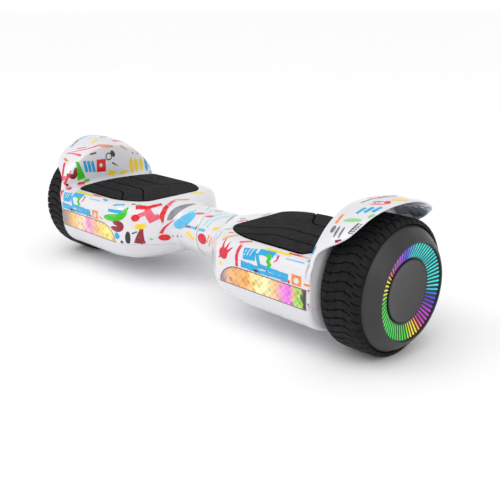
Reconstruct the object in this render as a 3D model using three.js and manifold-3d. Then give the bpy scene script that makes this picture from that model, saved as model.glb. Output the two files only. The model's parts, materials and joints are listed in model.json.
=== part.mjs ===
// A self balancing hoverboard: two half bodies that twist about one centre shaft, each with a hub motor wheel.
// Millimetres. X is the wheel axis and the long way, -Y is the front, +Z is up, and z = 0 is the ground.
// Every piece of a half is drawn once for the right side and mirrored in X for the left side.
import * as THREE from "three";
import { ParametricGeometry } from "three/addons/geometries/ParametricGeometry.js";
import { mergeVertices } from "three/addons/utils/BufferGeometryUtils.js";
import Module from "manifold-3d";

const wasm = await Module();
wasm.setup();

// ---- Driving dimensions ----
const AXIS_Z = 82.5; // height of the wheel axis and of the twist axis
const GAP = 0.3; // clearance between pieces that touch
const WALL = 3; // shell wall
const RAD = Math.PI / 180;
const WHEEL_SIDES = 30; // flats round the wheel's outer pieces
const INNER_SIDES = 16; // flats round the pieces inside

const SEAM_X = 0.5; // half of the slit between the two half bodies
const NECK_R = 34.4;
const BODY_END = 257; // outer end of the body, beside the tyre
const END_ROUND = 7; // rounding of that end
const BODY_W = 93; // half depth of the body
const BODY_T = 39.5; // top of the body above the axis
const BODY_B = 59.5; // underside of the body below the axis
// From the round neck to the full body: x, half depth, top, depth below the axis,
// and squareness, from 0 for a circle to 1 for the body's section.
const SHOULDER = [
  [44, NECK_R, NECK_R, NECK_R, 0],
  [49, 39, 35.6, 34.6, 0],
  [56, 50.5, 37, 36.5, 0.05],
  [66, 64, 38.2, 41, 0.2],
  [80, 77, 39, 46, 0.5],
  [95, 87, 39.4, 50, 0.85],
  [110, BODY_W, BODY_T, 53.5, 1],
  [150, BODY_W, BODY_T, BODY_B, 1],
];
const SPLIT_Z = 64; // where the upper and the lower shell meet

const PAD_TOP = 123;
const PAD_THICK = 3.3;
const PAD_TRAVEL = 1.5;
const PAD_FIT = 0.5; // slit round the foot pad
const PAD_POST_R = 4;
const PAD_POST_X = [130, 205];
const DECK_FLOOR = PAD_TOP - PAD_THICK - PAD_TRAVEL - 0.2; // floor of the pad's recess
const DECK_CEILING = DECK_FLOOR - WALL; // underside of that floor
const SWITCH_TOP = 109.8; // top of the switches under the foot pad
const BOARD_POST_SHIFT = -9; // from a switch to the post that holds its board

const STRIP_Z = [64.4, 89.5]; // light strip, lowest and highest edge
const STRIP_X = [112, 254]; // its inner tip and its outer end
const STRIP_NOSE = 34; // length of the curve at its inner tip
const STRIP_DEPTH = [-130, -86]; // how far it reaches into the front face

const TYRE_R = 82.5;
const TYRE_X = [262, 318];
const RIM_R = 58; // inside of the tyre
const DRUM_R = 56.8; // outside of the motor drum that carries it
const COVER_R = 75.2; // wheel cover, outer edge
const RING_R = [38.2, 57.6]; // light ring on the wheel
const RING_X = [325.5, 331.5];
const LIP_X = 333.5; // outermost plane of the wheel
const HUB_BORE = 15.4; // bearing seat
const AXLE_R = 8;

const ARCH_FOOT_X = 259.5; // where the fender has no overhang
const ARCH_WALL_R = 97; // crest of the arch's inner wall
const ARCH_TOP_R = 104; // crest of the fender
const ARCH_TIP_X = 320; // its outermost point
// Outer lip of the fender: degrees from the top, negative towards the front, and x.
const ARCH_LIP = [
  [-90, ARCH_FOOT_X],
  [-66, ARCH_FOOT_X],
  [-60, 261.5],
  [-54, 271],
  [-49, 284],
  [-44, 293],
  [-36, 299],
  [-25, 304],
  [-12, 311],
  [0, 317],
  [15, ARCH_TIP_X],
  [30, 318],
  [44, 301],
  [52, 284],
  [60, 262],
  [66, ARCH_FOOT_X],
  [90, ARCH_FOOT_X],
];

const SHAFT_R = 13;
const SHAFT_BORE = 10;
const BUSH_R = 16.5;
const COLLAR_R = 22;
const TRAY_Z = [38, 42];
const TRAY_X = [100, 226];
const TRAY_W = 46;

const BODY_BOTTOM = AXIS_Z - BODY_B;
const SHELL_SCREWS = [[150, 0], [204, 0]];
const CLAMP_X = [202, 226];
const CLAMP_SPAN = [CLAMP_X[0] - 5, CLAMP_X[1] + 5];
const CLAMP_MID = 214;
const CLAMP_W = 24;
const CLAMP_TOP = 99;
const CLAMP_SCREW_Y = [-17, 17];
const CLAMP_SCREW_TIP = 58;
const SHAFT_END = 88;
const CIRCLIP_X = -85.5;
const CRESCENT_LOW = 99; // lowest place of the crescent light
const CRESCENT_Y = [-42, 4]; // its tip and its blunt end
const CRESCENT_BEND_Y = -20;
const BATTERY_Z = [42.5, 82];

const SOCKET = { x: 190, z: 76, r: 8, bore: 5.6, floor: 80 };
const BUTTON = { x: 148, z: 76, r: 7.6 };
const FLAP_R = 11;
const FLAP_Y = [90.6, 92.8];
const FLAP_HINGE_Z = 89.5;

// ---- Materials ----
function plastic(color, roughness) {
  return new THREE.MeshStandardMaterial({ color, roughness, metalness: 0 });
}

function metal(color, roughness) {
  return new THREE.MeshStandardMaterial({ color, roughness, metalness: 1 });
}

const shellPrint = plastic(0xf2f0f4, 0.2);
const shellWhite = plastic(0xe4e3e8, 0.25);
const padRubber = plastic(0x35353a, 0.8);
const tyreRubber = plastic(0x17171a, 0.7);
const coverGrey = plastic(0x3b3b3f, 0.5);
const stripLens = plastic(0xf3b05a, 0.2);
const smokeLens = plastic(0x8d8f96, 0.15);
const ringLens = plastic(0x3fd0c8, 0.3);
const boardGreen = plastic(0x1f5b38, 0.5);
const blackPlastic = plastic(0x1c1c1e, 0.5);
const castAluminium = metal(0xb9bcc0, 0.5);
const steel = metal(0x9da1a6, 0.3);
const brass = metal(0xc9a45a, 0.35);
const copper = metal(0x9a5a32, 0.4);

// ---- Solids ----
function solid(geometry) {
  const bare = geometry.index ? geometry.clone() : mergeVertices(geometry);
  bare.deleteAttribute("normal");
  bare.deleteAttribute("uv");
  const merged = mergeVertices(bare, 1e-3);
  const vertProperties = merged.attributes.position.array;
  const triVerts = new Uint32Array(merged.index.array);
  return new wasm.Manifold(new wasm.Mesh({ numProp: 3, vertProperties, triVerts }));
}

function geometryOf(shape) {
  const mesh = shape.getMesh();
  const position = new Float32Array(mesh.numVert * 3);
  for (let i = 0; i < mesh.numVert; i++) {
    position.set(mesh.vertProperties.subarray(i * mesh.numProp, i * mesh.numProp + 3), i * 3);
  }
  const geometry = new THREE.BufferGeometry();
  geometry.setAttribute("position", new THREE.BufferAttribute(position, 3));
  geometry.setIndex(new THREE.BufferAttribute(mesh.triVerts, 1));
  geometry.computeVertexNormals();
  return geometry;
}

function joined(...shapes) {
  return shapes.reduce((whole, shape) => whole.add(shape));
}

function box([x0, x1], [y0, y1], [z0, z1]) {
  const geometry = new THREE.BoxGeometry(x1 - x0, y1 - y0, z1 - z0);
  return solid(geometry.translate((x0 + x1) / 2, (y0 + y1) / 2, (z0 + z1) / 2));
}

// A cylinder along y or z between two places on that axis; the other two coordinates are its centre.
function rod(along, r, [from, to], centre, sides = INNER_SIDES) {
  const geometry = new THREE.CylinderGeometry(r, r, to - from, sides);
  const [a, b] = centre;
  const mid = (from + to) / 2;
  if (along === "y") return solid(geometry.translate(a, mid, b));
  return solid(geometry.rotateX(Math.PI / 2).translate(a, b, mid));
}

// A solid of revolution about the wheel axis from a closed profile of [x, radius] points.
// Its sides are flat at the very top and bottom, and the flats lie on the stated radius.
function turned(profile, sides = INNER_SIDES) {
  const flat = 1 / Math.cos(Math.PI / sides);
  const area = profile.reduce((sum, [x, r], i) => {
    const [nextX, nextR] = profile[(i + 1) % profile.length];
    return sum + x * nextR - nextX * r;
  }, 0);
  const ordered = area > 0 ? [...profile].reverse() : [...profile];
  const points = [...ordered, ordered[0]].map(([x, r]) => new THREE.Vector2(r * flat, x));
  const geometry = new THREE.LatheGeometry(points, sides, Math.PI / sides);
  return solid(geometry.rotateZ(-Math.PI / 2).translate(0, 0, AXIS_Z));
}

// A round bar on the wheel axis.
function drum(r, [x0, x1]) {
  return turned([[x0, 0], [x1, 0], [x1, r], [x0, r]]);
}

// A closed skin through rings of points, with a flat cap on the first and the last ring.
// ring(j) returns a list of count points.
function loft(rings, count, ring) {
  const lists = Array.from({ length: rings }, (_, j) => ring(j));
  const middles = lists.map((list) => {
    const sum = list.reduce((total, point) => total.clone().add(point));
    return sum.divideScalar(count);
  });
  const skin = (u, v, target) => {
    const j = Math.round(v * (rings + 1));
    if (j === 0) return target.copy(middles[0]);
    if (j === rings + 1) return target.copy(middles[rings - 1]);
    return target.copy(lists[j - 1][Math.round(u * count) % count]);
  };
  return solid(new ParametricGeometry(skin, count, rings + 1));
}

function outlineShape(points) {
  return new THREE.Shape(points.map(([a, b]) => new THREE.Vector2(a, b)));
}

// An outline in X and Y, extruded in Z.
function slabZ(points, [z0, z1]) {
  const options = { depth: z1 - z0, bevelEnabled: false };
  return solid(new THREE.ExtrudeGeometry(outlineShape(points), options).translate(0, 0, z0));
}

// An outline in X and Z, extruded in Y.
function slabY(points, [y0, y1]) {
  const options = { depth: y1 - y0, bevelEnabled: false };
  const geometry = new THREE.ExtrudeGeometry(outlineShape(points), options);
  return solid(geometry.rotateX(Math.PI / 2).translate(0, y1, 0));
}

// Points of an ellipse arc in a plane, from one angle to another in degrees.
function arc([a, b], [ra, rb], [from, to], steps) {
  return Array.from({ length: steps + 1 }, (_, i) => {
    const angle = (from + ((to - from) * i) / steps) * RAD;
    return [a + ra * Math.cos(angle), b + rb * Math.sin(angle)];
  });
}

// ---- Body of one half ----
const SECTION_POINTS = 24;

// The sections from the seam to the outer end, each moved inwards by inset,
// and by topInset at the top of the deck.
function sections(inset, topInset) {
  const neck = { x: inset ? -5 : SEAM_X, w: NECK_R - inset, t: NECK_R - inset, b: NECK_R - inset, q: 0 };
  const list = SHOULDER.map(([x, w, t, b, q]) => ({
    x: x + inset * (1 - q),
    w: w - inset,
    t: t - inset - (topInset - inset) * Math.min(1, 1.2 * q),
    b: b - inset,
    q,
  }));
  const last = list[list.length - 1];
  for (const [back, shrink] of [[1, 0], [0.62, 0.08], [0.25, 0.4], [0, 1]]) {
    list.push({
      x: BODY_END - inset - END_ROUND * back,
      w: last.w - END_ROUND * shrink,
      t: last.t - END_ROUND * shrink * 0.4,
      b: last.b - END_ROUND * shrink,
      q: 1,
    });
  }
  return [neck, ...list];
}

function bodySolid(inset, topInset) {
  const list = sections(inset, topInset);
  return loft(list.length, SECTION_POINTS, (j) => {
    const { x, w, t, b, q } = list[j];
    return Array.from({ length: SECTION_POINTS }, (_, i) => {
      const angle = (2 * Math.PI * i) / SECTION_POINTS;
      const c = Math.cos(angle);
      const s = Math.sin(angle);
      const power = 2 / (s > 0 ? 2 + 5 * q : 2 + q);
      const y = w * Math.sign(c) * Math.abs(c) ** power;
      const z = (s > 0 ? t : b) * Math.sign(s) * Math.abs(s) ** power;
      return new THREE.Vector3(x, y, AXIS_Z + z);
    });
  });
}

// ---- Wheel arch and fender ----
const ARCH_SWEEP = [-78, ...ARCH_LIP.slice(1, -1).map(([angle]) => angle), 78];

function lipX(degrees) {
  const i = Math.max(1, ARCH_LIP.findIndex(([angle]) => angle >= degrees));
  const [a0, x0] = ARCH_LIP[i - 1];
  const [a1, x1] = ARCH_LIP[i];
  return x0 + ((x1 - x0) * (degrees - a0)) / (a1 - a0);
}

// One section of the arch: an L of inner wall and outward fender, as [x, radius].
function archProfile(degrees) {
  const tip = lipX(degrees);
  const reach = (tip - ARCH_FOOT_X) / (ARCH_TIP_X - ARCH_FOOT_X);
  const low = Math.max(0, (Math.abs(degrees) - 60) / 18);
  const wall = ARCH_WALL_R - 4.5 * low;
  const crest = wall + (ARCH_TOP_R - ARCH_WALL_R) * reach;
  return [
    [249.6, 36],
    [250.6, 70],
    [251.6, wall - 9],
    [253, wall - 2.5],
    [255.5, wall],
    [257 + 12 * reach, wall + 0.6 + 2.2 * reach],
    [258.4 + 30 * reach, crest + 0.6 * reach],
    [tip - 3 * reach, crest - 0.4 * reach],
    [tip, crest - 1.8],
    [tip - 1.2 * reach, crest - 3.6],
    [258.3 + 28 * reach, crest - 3.4],
    [258.2 + 8 * reach, wall - 3.2],
    [258.1, wall - 7],
    [258, 36],
  ];
}

function archSolid() {
  const count = archProfile(0).length;
  return loft(ARCH_SWEEP.length, count, (j) => {
    const angle = ARCH_SWEEP[j] * RAD;
    return archProfile(ARCH_SWEEP[j]).map(
      ([x, r]) => new THREE.Vector3(x, r * Math.sin(angle), AXIS_Z + r * Math.cos(angle)),
    );
  });
}

// ---- Foot pad ----
function padOutline(margin) {
  const front = arc([151, -38], [62 + margin, 35 + margin], [180, 270], 6);
  const frontCorner = arc([224, -64], [9 + margin, 9 + margin], [270, 330], 3);
  const outer = arc([165, 0], [83 + margin, 120 + margin], [-30, 30], 4);
  const backCorner = arc([224, 64], [9 + margin, 9 + margin], [30, 90], 3);
  const back = arc([151, 38], [62 + margin, 35 + margin], [90, 180], 6);
  return [...front, ...frontCorner, ...outer, ...backCorner, ...back];
}

function footPad() {
  const bottom = SWITCH_TOP + PAD_TRAVEL + GAP;
  const posts = PAD_POST_X.map((x) => rod("z", PAD_POST_R, [bottom, PAD_TOP - 1], [x, 0], 16));
  return joined(slabZ(padOutline(0), [PAD_TOP - PAD_THICK, PAD_TOP]), ...posts);
}

function padSwitchBoard() {
  const plate = box([118, 217], [-11, 11], [SWITCH_TOP - 3.4, SWITCH_TOP - 1.8]);
  const switches = PAD_POST_X.map((x) => box([x - 5, x + 5], [-5, 5], [SWITCH_TOP - 2, SWITCH_TOP]));
  return joined(plate, ...switches);
}

// ---- Lights on the body ----
function stripOutline(margin) {
  const [z0, z1] = STRIP_Z;
  const [x0, x1] = STRIP_X;
  const nose = arc([x0 + STRIP_NOSE, z0], [STRIP_NOSE + margin, z1 - z0 + margin], [90, 175], 6);
  return [[x0 - margin, z0 - margin], [x1 + margin, z0 - margin], [x1 + margin, z1 + margin], ...nose];
}

// A crescent from its low tip in front to its blunt end on top of the neck.
function crescentOutline(margin) {
  const side = (tipX, bendX, endX) =>
    new THREE.QuadraticBezierCurve(
      new THREE.Vector2(tipX, CRESCENT_Y[0] - margin),
      new THREE.Vector2(bendX, CRESCENT_BEND_Y),
      new THREE.Vector2(endX, CRESCENT_Y[1] + margin),
    );
  const out = 1.15 * margin;
  const neckSide = side(52.9 - out, 46 - out, 40.5 - out).getPoints(7);
  const bodySide = side(53.9 + out, 58 + out, 44 + out).getPoints(7);
  return [...bodySide, ...neckSide.reverse()].map(({ x, y }) => [x, y]);
}

// ---- Shells ----
const outerBody = bodySolid(0, 0);
const cavity = bodySolid(WALL, AXIS_Z + BODY_T - DECK_CEILING);
const lensBack = bodySolid(WALL - GAP, WALL + 2);
const arch = archSolid();

function shellHalf() {
  const well = drum(20, [BODY_END - 12, BODY_END + 5]);
  const wellSlot = box([BODY_END - 12, BODY_END + 5], [-20, 20], [SPLIT_Z - 1, AXIS_Z]);
  return outerBody.add(arch).subtract(cavity).subtract(well).subtract(wellSlot);
}

function screwBoss(shell, [x, y]) {
  const boss = rod("z", 7, [BODY_BOTTOM + 1, TRAY_Z[0] - GAP], [x, y], 16);
  const pocket = rod("z", 4.6, [BODY_BOTTOM - 3, BODY_BOTTOM + 7], [x, y], 16);
  const hole = rod("z", 2.3, [BODY_BOTTOM, TRAY_Z[0]], [x, y], 12);
  return shell.add(boss).subtract(pocket).subtract(hole);
}

function lowerShell() {
  const below = box([-10, 320], [-130, 130], [0, SPLIT_Z - GAP / 2]);
  return SHELL_SCREWS.reduce(screwBoss, shellHalf().intersect(below));
}

function upperShell(hasControls) {
  const above = box([-10, 320], [-130, 130], [SPLIT_Z + GAP / 2, 200]);
  const recess = slabZ(padOutline(PAD_FIT), [DECK_FLOOR, PAD_TOP + 60]).subtract(arch);
  let shell = shellHalf().intersect(above).subtract(recess);
  for (const x of PAD_POST_X) {
    shell = shell.subtract(rod("z", PAD_POST_R + 0.6, [DECK_CEILING - 2, DECK_FLOOR + 2], [x, 0], 16));
    shell = shell.add(rod("z", 3, [SWITCH_TOP - 1.5, DECK_CEILING + 1], [x + BOARD_POST_SHIFT, 0], 12));
  }
  shell = shell.subtract(slabY(stripOutline(GAP), STRIP_DEPTH));
  shell = shell.subtract(slabZ(crescentOutline(GAP), [CRESCENT_LOW, 130]));
  return hasControls ? withControls(shell) : shell;
}

// The rear face of the right half carries the charging socket and the power button.
function withControls(shell) {
  const { x: sx, z: sz, r: sr } = SOCKET;
  const { x: bx, z: bz, r: br } = BUTTON;
  const socketBoss = box([sx - 16, sx + 16], [85, 91.5], [sz - 11, sz + 18]);
  const buttonBoss = rod("y", 12, [87, 91.5], [bx, bz]);
  const flapSeat = rod("y", FLAP_R + 0.6, [FLAP_Y[0] - GAP, 100], [sx, sz]);
  const flapHinge = box([sx - 5.5, sx + 5.5], [FLAP_Y[0] - GAP, 100], [sz, FLAP_HINGE_Z + 2]);
  return shell
    .add(socketBoss)
    .add(buttonBoss)
    .subtract(rod("y", sr + GAP, [80, 100], [sx, sz]))
    .subtract(rod("y", br + 0.4, [80, 100], [bx, bz]))
    .subtract(flapSeat)
    .subtract(flapHinge);
}

function stripLensPiece() {
  return outerBody.intersect(slabY(stripOutline(0), STRIP_DEPTH)).subtract(lensBack);
}

function stripBoard() {
  return box([148, 247], [-86.5, -84.9], [69, 86]);
}

function neckLight() {
  return outerBody.intersect(slabZ(crescentOutline(0), [CRESCENT_LOW + GAP, 130])).subtract(lensBack);
}

// ---- Frame ----
function chassis(bore) {
  const [x0, x1] = TRAY_X;
  const [z0, z1] = TRAY_Z;
  const tray = box([x0, x1], [-TRAY_W, TRAY_W], [z0, z1]);
  const ribs = [-1, 1].map((side) => {
    const inner = side * (TRAY_W - 4);
    const outer = side * TRAY_W;
    return box([x0, x1], [Math.min(inner, outer), Math.max(inner, outer)], [z1 - 1, z1 + 22]);
  });
  const innerWall = box([x0, x0 + 6], [-TRAY_W, TRAY_W], [z1 - 1, AXIS_Z + 18]);
  const collar = drum(COLLAR_R, [8, x0 + 3]);
  const seat = box([CLAMP_X[0], CLAMP_X[1]], [-CLAMP_W, CLAMP_W], [z1 - 1, AXIS_Z - GAP]);
  let frame = joined(tray, ...ribs, innerWall, collar, seat);
  frame = frame.subtract(drum(bore, [0, x0 + 10])).subtract(drum(AXLE_R + GAP, CLAMP_SPAN));
  for (const y of CLAMP_SCREW_Y) {
    frame = frame.subtract(rod("z", 3.1, [CLAMP_SCREW_TIP - 2, AXIS_Z], [CLAMP_MID, y], 12));
  }
  for (const [x, y] of SHELL_SCREWS) {
    frame = frame.subtract(rod("z", 2.3, [z0 - 2, z1 + 2], [x, y], 12));
  }
  return frame;
}

function axleClamp() {
  const block = box([CLAMP_X[0], CLAMP_X[1]], [-CLAMP_W, CLAMP_W], [AXIS_Z, CLAMP_TOP]);
  let clamp = block.subtract(drum(AXLE_R + GAP, CLAMP_SPAN));
  for (const y of CLAMP_SCREW_Y) {
    clamp = clamp.subtract(rod("z", 3.1, [AXIS_Z - 5, CLAMP_TOP + 5], [CLAMP_MID, y], 12));
  }
  return clamp;
}

// A cap screw standing on z: its head above, or below when the screw is driven upwards.
function screw([x, y], seatZ, headR, headH, shankR, tipZ) {
  const up = tipZ > seatZ ? -1 : 1;
  const headSpan = [seatZ, seatZ + up * headH].sort((a, b) => a - b);
  const shankSpan = [seatZ + up * 0.5, tipZ].sort((a, b) => a - b);
  const head = rod("z", headR, headSpan, [x, y], 16);
  const keySpan = [seatZ + up * headH * 0.5, seatZ + up * (headH + 1)].sort((a, b) => a - b);
  const socket = rod("z", headR * 0.5, keySpan, [x, y], 6);
  return head.subtract(socket).add(rod("z", shankR, shankSpan, [x, y], 12));
}

function pivotShaft() {
  const end = -SHAFT_END;
  return turned([
    [end, SHAFT_BORE],
    [SHAFT_END - 8, SHAFT_BORE],
    [SHAFT_END - 8, SHAFT_R],
    [CIRCLIP_X + 1.8, SHAFT_R],
    [CIRCLIP_X + 1.8, SHAFT_R - 1.2],
    [CIRCLIP_X - 0.3, SHAFT_R - 1.2],
    [CIRCLIP_X - 0.3, SHAFT_R],
    [end, SHAFT_R],
  ]);
}

function ring([x0, x1], [inner, outer]) {
  return turned([[x0, inner], [x1, inner], [x1, outer], [x0, outer]]);
}

function circlip() {
  const whole = ring([CIRCLIP_X, CIRCLIP_X + 1.5], [SHAFT_R - 0.9, SHAFT_R + 3.2]);
  return whole.subtract(box([CIRCLIP_X - 2, CIRCLIP_X + 3], [-4, 4], [AXIS_Z - 30, AXIS_Z]));
}

// ---- Wheel ----
function axle() {
  const shaft = turned([[CLAMP_X[0] - 3, 0], [309, 0], [309, AXLE_R], [CLAMP_X[0] - 3, AXLE_R]]);
  const flat = box([CLAMP_X[0] - 5, CLAMP_X[1]], [-AXLE_R, AXLE_R], [AXIS_Z + 6.6, AXIS_Z + 20]);
  return shaft.subtract(flat);
}

function stator() {
  const shape = new THREE.Shape();
  const teeth = 12;
  for (let i = 0; i < teeth; i++) {
    for (const [share, r] of [[0.08, 36], [0.16, 47.5], [0.84, 47.5], [0.92, 36]]) {
      const angle = (2 * Math.PI * (i + share)) / teeth;
      const point = [r * Math.cos(angle), r * Math.sin(angle)];
      if (i === 0 && share === 0.08) shape.moveTo(...point);
      else shape.lineTo(...point);
    }
  }
  const bore = new THREE.Path().absarc(0, 0, AXLE_R + GAP, 0, 2 * Math.PI, true);
  shape.holes.push(bore);
  const options = { depth: 25, bevelEnabled: false, curveSegments: 12 };
  const geometry = new THREE.ExtrudeGeometry(shape, options);
  return solid(geometry.rotateY(Math.PI / 2).translate(274.5, 0, AXIS_Z));
}

const tyreProfile = [
  [266, RIM_R],
  [263.5, 64],
  [TYRE_X[0], 71],
  [TYRE_X[0] + 0.7, 77],
  [TYRE_X[0] + 4, 81.2],
  [TYRE_X[0] + 10, TYRE_R],
  [TYRE_X[1] - 6, TYRE_R],
  [TYRE_X[1] - 1.5, 81],
  [TYRE_X[1], 77.5],
  [TYRE_X[1] - 0.6, COVER_R + 0.9],
  [312, COVER_R + 0.6],
  [311, 64],
  [309, RIM_R],
];

const rotorHubProfile = [
  [263.5, HUB_BORE],
  [272.5, HUB_BORE],
  [272.5, 20],
  [269, 20],
  [269, 50],
  [304, 50],
  [304, DRUM_R],
  [266.5, DRUM_R],
  [264.5, 50],
];

const rotorCoverProfile = [
  [301.8, HUB_BORE],
  [309, HUB_BORE],
  [309, DRUM_R],
  [304.3, DRUM_R],
  [304.3, 20],
  [301.8, 20],
];

const wheelCoverProfile = [
  [318.5, 0],
  [318.5, 24],
  [309.4, 24],
  [309.4, 29],
  [318.5, 29],
  [320, 38],
  [327.6, 60],
  [313, 73],
  [312.5, COVER_R],
  [316, COVER_R],
  [322, 71.8],
  [330, 64.5],
  [LIP_X, 59.5],
  [LIP_X - 0.5, RING_R[1] + GAP],
  [RING_X[1] - 2.3, RING_R[1] + GAP],
  [RING_X[0] - 2.3, RING_R[0] - GAP],
  [321.5, RING_R[0] - GAP],
  [321.5, 0],
];

const ringLensProfile = [
  [RING_X[0] - 2, RING_R[0]],
  [RING_X[1] - 2, RING_R[1]],
  [RING_X[1], RING_R[1]],
  [RING_X[0], RING_R[0]],
];

const hubCapProfile = [
  [321.8, 0],
  [321.8, RING_R[0] - 0.7],
  [325.6, RING_R[0] - 0.7],
  [326.7, RING_R[0] - 2],
  [325, 0],
];

// ---- Electronics ----
function board([x0, x1], [y0, y1], z, chips) {
  const posts = [[x0 + 3, y0 + 3], [x0 + 3, y1 - 3], [x1 - 3, y0 + 3], [x1 - 3, y1 - 3]];
  const feet = posts.map((centre) => rod("z", 2, [TRAY_Z[1] + GAP, z + 0.5], centre, 10));
  const parts = chips.map(([cx, cy, w, d, h]) => box([cx - w, cx + w], [cy - d, cy + d], [z + 1, z + 1.6 + h]));
  return joined(box([x0, x1], [y0, y1], [z, z + 1.6]), ...feet, ...parts);
}

function gyroBoard() {
  return board([107, 121], [-18, 18], 46, [[114, 0, 4, 5, 1.5]]);
}

function mainBoard() {
  const heatSink = [182, 0, 12, 30, 14];
  const processor = [147, -10, 7, 7, 2];
  const capacitor = [152, 22, 8, 8, 18];
  return board([124, 198], [-38, 38], 47, [heatSink, processor, capacitor]);
}

function batteryPack() {
  const cells = box([124, 198], [-36, 36], BATTERY_Z);
  return cells.add(box([150, 164], [-8, 8], [BATTERY_Z[1] - 1, BATTERY_Z[1] + 5]));
}

function chargeSocket() {
  const body = rod("y", SOCKET.r, [74, FLAP_Y[0] - GAP], [SOCKET.x, SOCKET.z]);
  const nut = rod("y", SOCKET.r + 4, [81.5, 84.5], [SOCKET.x, SOCKET.z], 6);
  return body.add(nut).subtract(rod("y", SOCKET.bore, [SOCKET.floor, 100], [SOCKET.x, SOCKET.z]));
}

function chargeFlap() {
  const disc = rod("y", FLAP_R, FLAP_Y, [SOCKET.x, SOCKET.z], 32);
  const tab = box([SOCKET.x - 5, SOCKET.x + 5], FLAP_Y, [SOCKET.z, FLAP_HINGE_Z]);
  return disc.add(tab);
}

function powerButton() {
  const cap = rod("y", BUTTON.r, [86, BODY_W - GAP], [BUTTON.x, BUTTON.z]);
  return cap.add(rod("y", BUTTON.r + 2, [84.5, 86.5], [BUTTON.x, BUTTON.z]));
}

// ---- Assembly ----
const clampScrews = { clamp_screw_front: CLAMP_SCREW_Y[0], clamp_screw_rear: CLAMP_SCREW_Y[1] };
const shellScrews = { shell_screw_inner: SHELL_SCREWS[0], shell_screw_outer: SHELL_SCREWS[1] };

// The pieces that both halves have, for x > 0.
function sidePieces() {
  const pieces = {
    lower_shell: [lowerShell(), shellWhite],
    foot_pad: [footPad(), padRubber],
    pad_switch_board: [padSwitchBoard(), boardGreen],
    light_strip_lens: [stripLensPiece(), stripLens],
    light_strip_board: [stripBoard(), boardGreen],
    neck_light: [neckLight(), smokeLens],
    axle: [axle(), steel],
    axle_clamp: [axleClamp(), castAluminium],
    stator: [stator(), copper],
    inner_bearing: [ring([264, 272], [AXLE_R + GAP, HUB_BORE - GAP]), steel],
    outer_bearing: [ring([302, 308.6], [AXLE_R + GAP, HUB_BORE - GAP]), steel],
    rotor_hub: [turned(rotorHubProfile), castAluminium],
    rotor_cover: [turned(rotorCoverProfile), castAluminium],
    tyre: [turned(tyreProfile, WHEEL_SIDES), tyreRubber],
    wheel_cover: [turned(wheelCoverProfile, WHEEL_SIDES), coverGrey],
    ring_lens: [turned(ringLensProfile, WHEEL_SIDES), ringLens],
    ring_board: [ring([311.5, 313.1], [32, 56]), boardGreen],
    hub_cap: [turned(hubCapProfile, WHEEL_SIDES), coverGrey],
    gyro_board: [gyroBoard(), boardGreen],
  };
  for (const [name, y] of Object.entries(clampScrews)) {
    pieces[name] = [screw([CLAMP_MID, y], CLAMP_TOP, 5, 5, 2.8, CLAMP_SCREW_TIP), steel];
  }
  for (const [name, place] of Object.entries(shellScrews)) {
    pieces[name] = [screw(place, BODY_BOTTOM + 6.7, 4.2, 3, 1.9, TRAY_Z[1] + 0.1), steel];
  }
  return pieces;
}

const rightOnly = {
  upper_shell: [upperShell(true), shellPrint],
  chassis: [chassis(SHAFT_R + GAP), castAluminium],
};

const leftOnly = {
  upper_shell: [upperShell(false), shellPrint],
  chassis: [chassis(BUSH_R + GAP), castAluminium],
};

const inTheMiddle = {
  pivot_shaft: [pivotShaft(), steel],
  pivot_circlip: [circlip(), steel],
  pivot_bush_inner: [ring([-24, -8.3], [SHAFT_R + GAP, BUSH_R]), brass],
  pivot_bush_outer: [ring([-82, -66], [SHAFT_R + GAP, BUSH_R]), brass],
  wiring_loom: [drum(6, [-104, 104]), blackPlastic],
  main_board: [mainBoard(), boardGreen],
  power_button: [powerButton(), blackPlastic],
  charge_socket: [chargeSocket(), blackPlastic],
  charge_flap: [chargeFlap(), padRubber],
};

function addPieces(group, pieces, prefix) {
  for (const [name, [shape, material]] of Object.entries(pieces)) {
    const mesh = new THREE.Mesh(geometryOf(shape), material);
    mesh.name = prefix + name;
    group.add(mesh);
  }
}

const hoverboard = new THREE.Group();
const right = new THREE.Group();
const left = new THREE.Group();
left.scale.x = -1;
const shared = sidePieces();
addPieces(right, { ...shared, ...rightOnly }, "right_");
addPieces(left, { ...shared, ...leftOnly }, "left_");
addPieces(left, { battery_pack: [batteryPack(), blackPlastic] }, "");
addPieces(hoverboard, inTheMiddle, "");
hoverboard.add(right, left);

export default hoverboard;
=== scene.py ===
# A self balancing hoverboard with a bright abstract print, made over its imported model.
# Metres in Blender; the dimensions below are millimetres. +Z is up, the front faces -Y, the wheel axis is X.
import json
import math

import bmesh
import bpy
import numpy as np
from mathutils import Matrix, Vector
from mathutils.bvhtree import BVHTree


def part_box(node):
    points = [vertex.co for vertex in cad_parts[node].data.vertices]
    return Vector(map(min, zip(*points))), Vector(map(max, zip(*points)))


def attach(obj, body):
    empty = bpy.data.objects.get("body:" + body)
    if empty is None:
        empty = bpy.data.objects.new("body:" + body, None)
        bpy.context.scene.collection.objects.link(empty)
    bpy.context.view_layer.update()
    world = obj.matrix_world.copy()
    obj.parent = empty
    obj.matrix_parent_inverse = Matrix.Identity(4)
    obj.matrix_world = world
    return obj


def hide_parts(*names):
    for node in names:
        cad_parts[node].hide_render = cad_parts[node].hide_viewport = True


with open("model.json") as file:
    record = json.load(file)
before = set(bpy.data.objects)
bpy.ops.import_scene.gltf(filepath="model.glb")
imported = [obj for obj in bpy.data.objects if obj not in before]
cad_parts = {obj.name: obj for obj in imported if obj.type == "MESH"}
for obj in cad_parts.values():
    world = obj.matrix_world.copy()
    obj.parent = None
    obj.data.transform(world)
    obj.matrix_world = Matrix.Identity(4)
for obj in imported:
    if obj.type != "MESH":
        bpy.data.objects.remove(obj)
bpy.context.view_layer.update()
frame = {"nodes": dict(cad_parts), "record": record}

NODES = frame["nodes"]
RECORD = frame["record"]
BODY_OF = {node: body for body, nodes in RECORD["behaviour"]["bodies"].items() for node in nodes}
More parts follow.
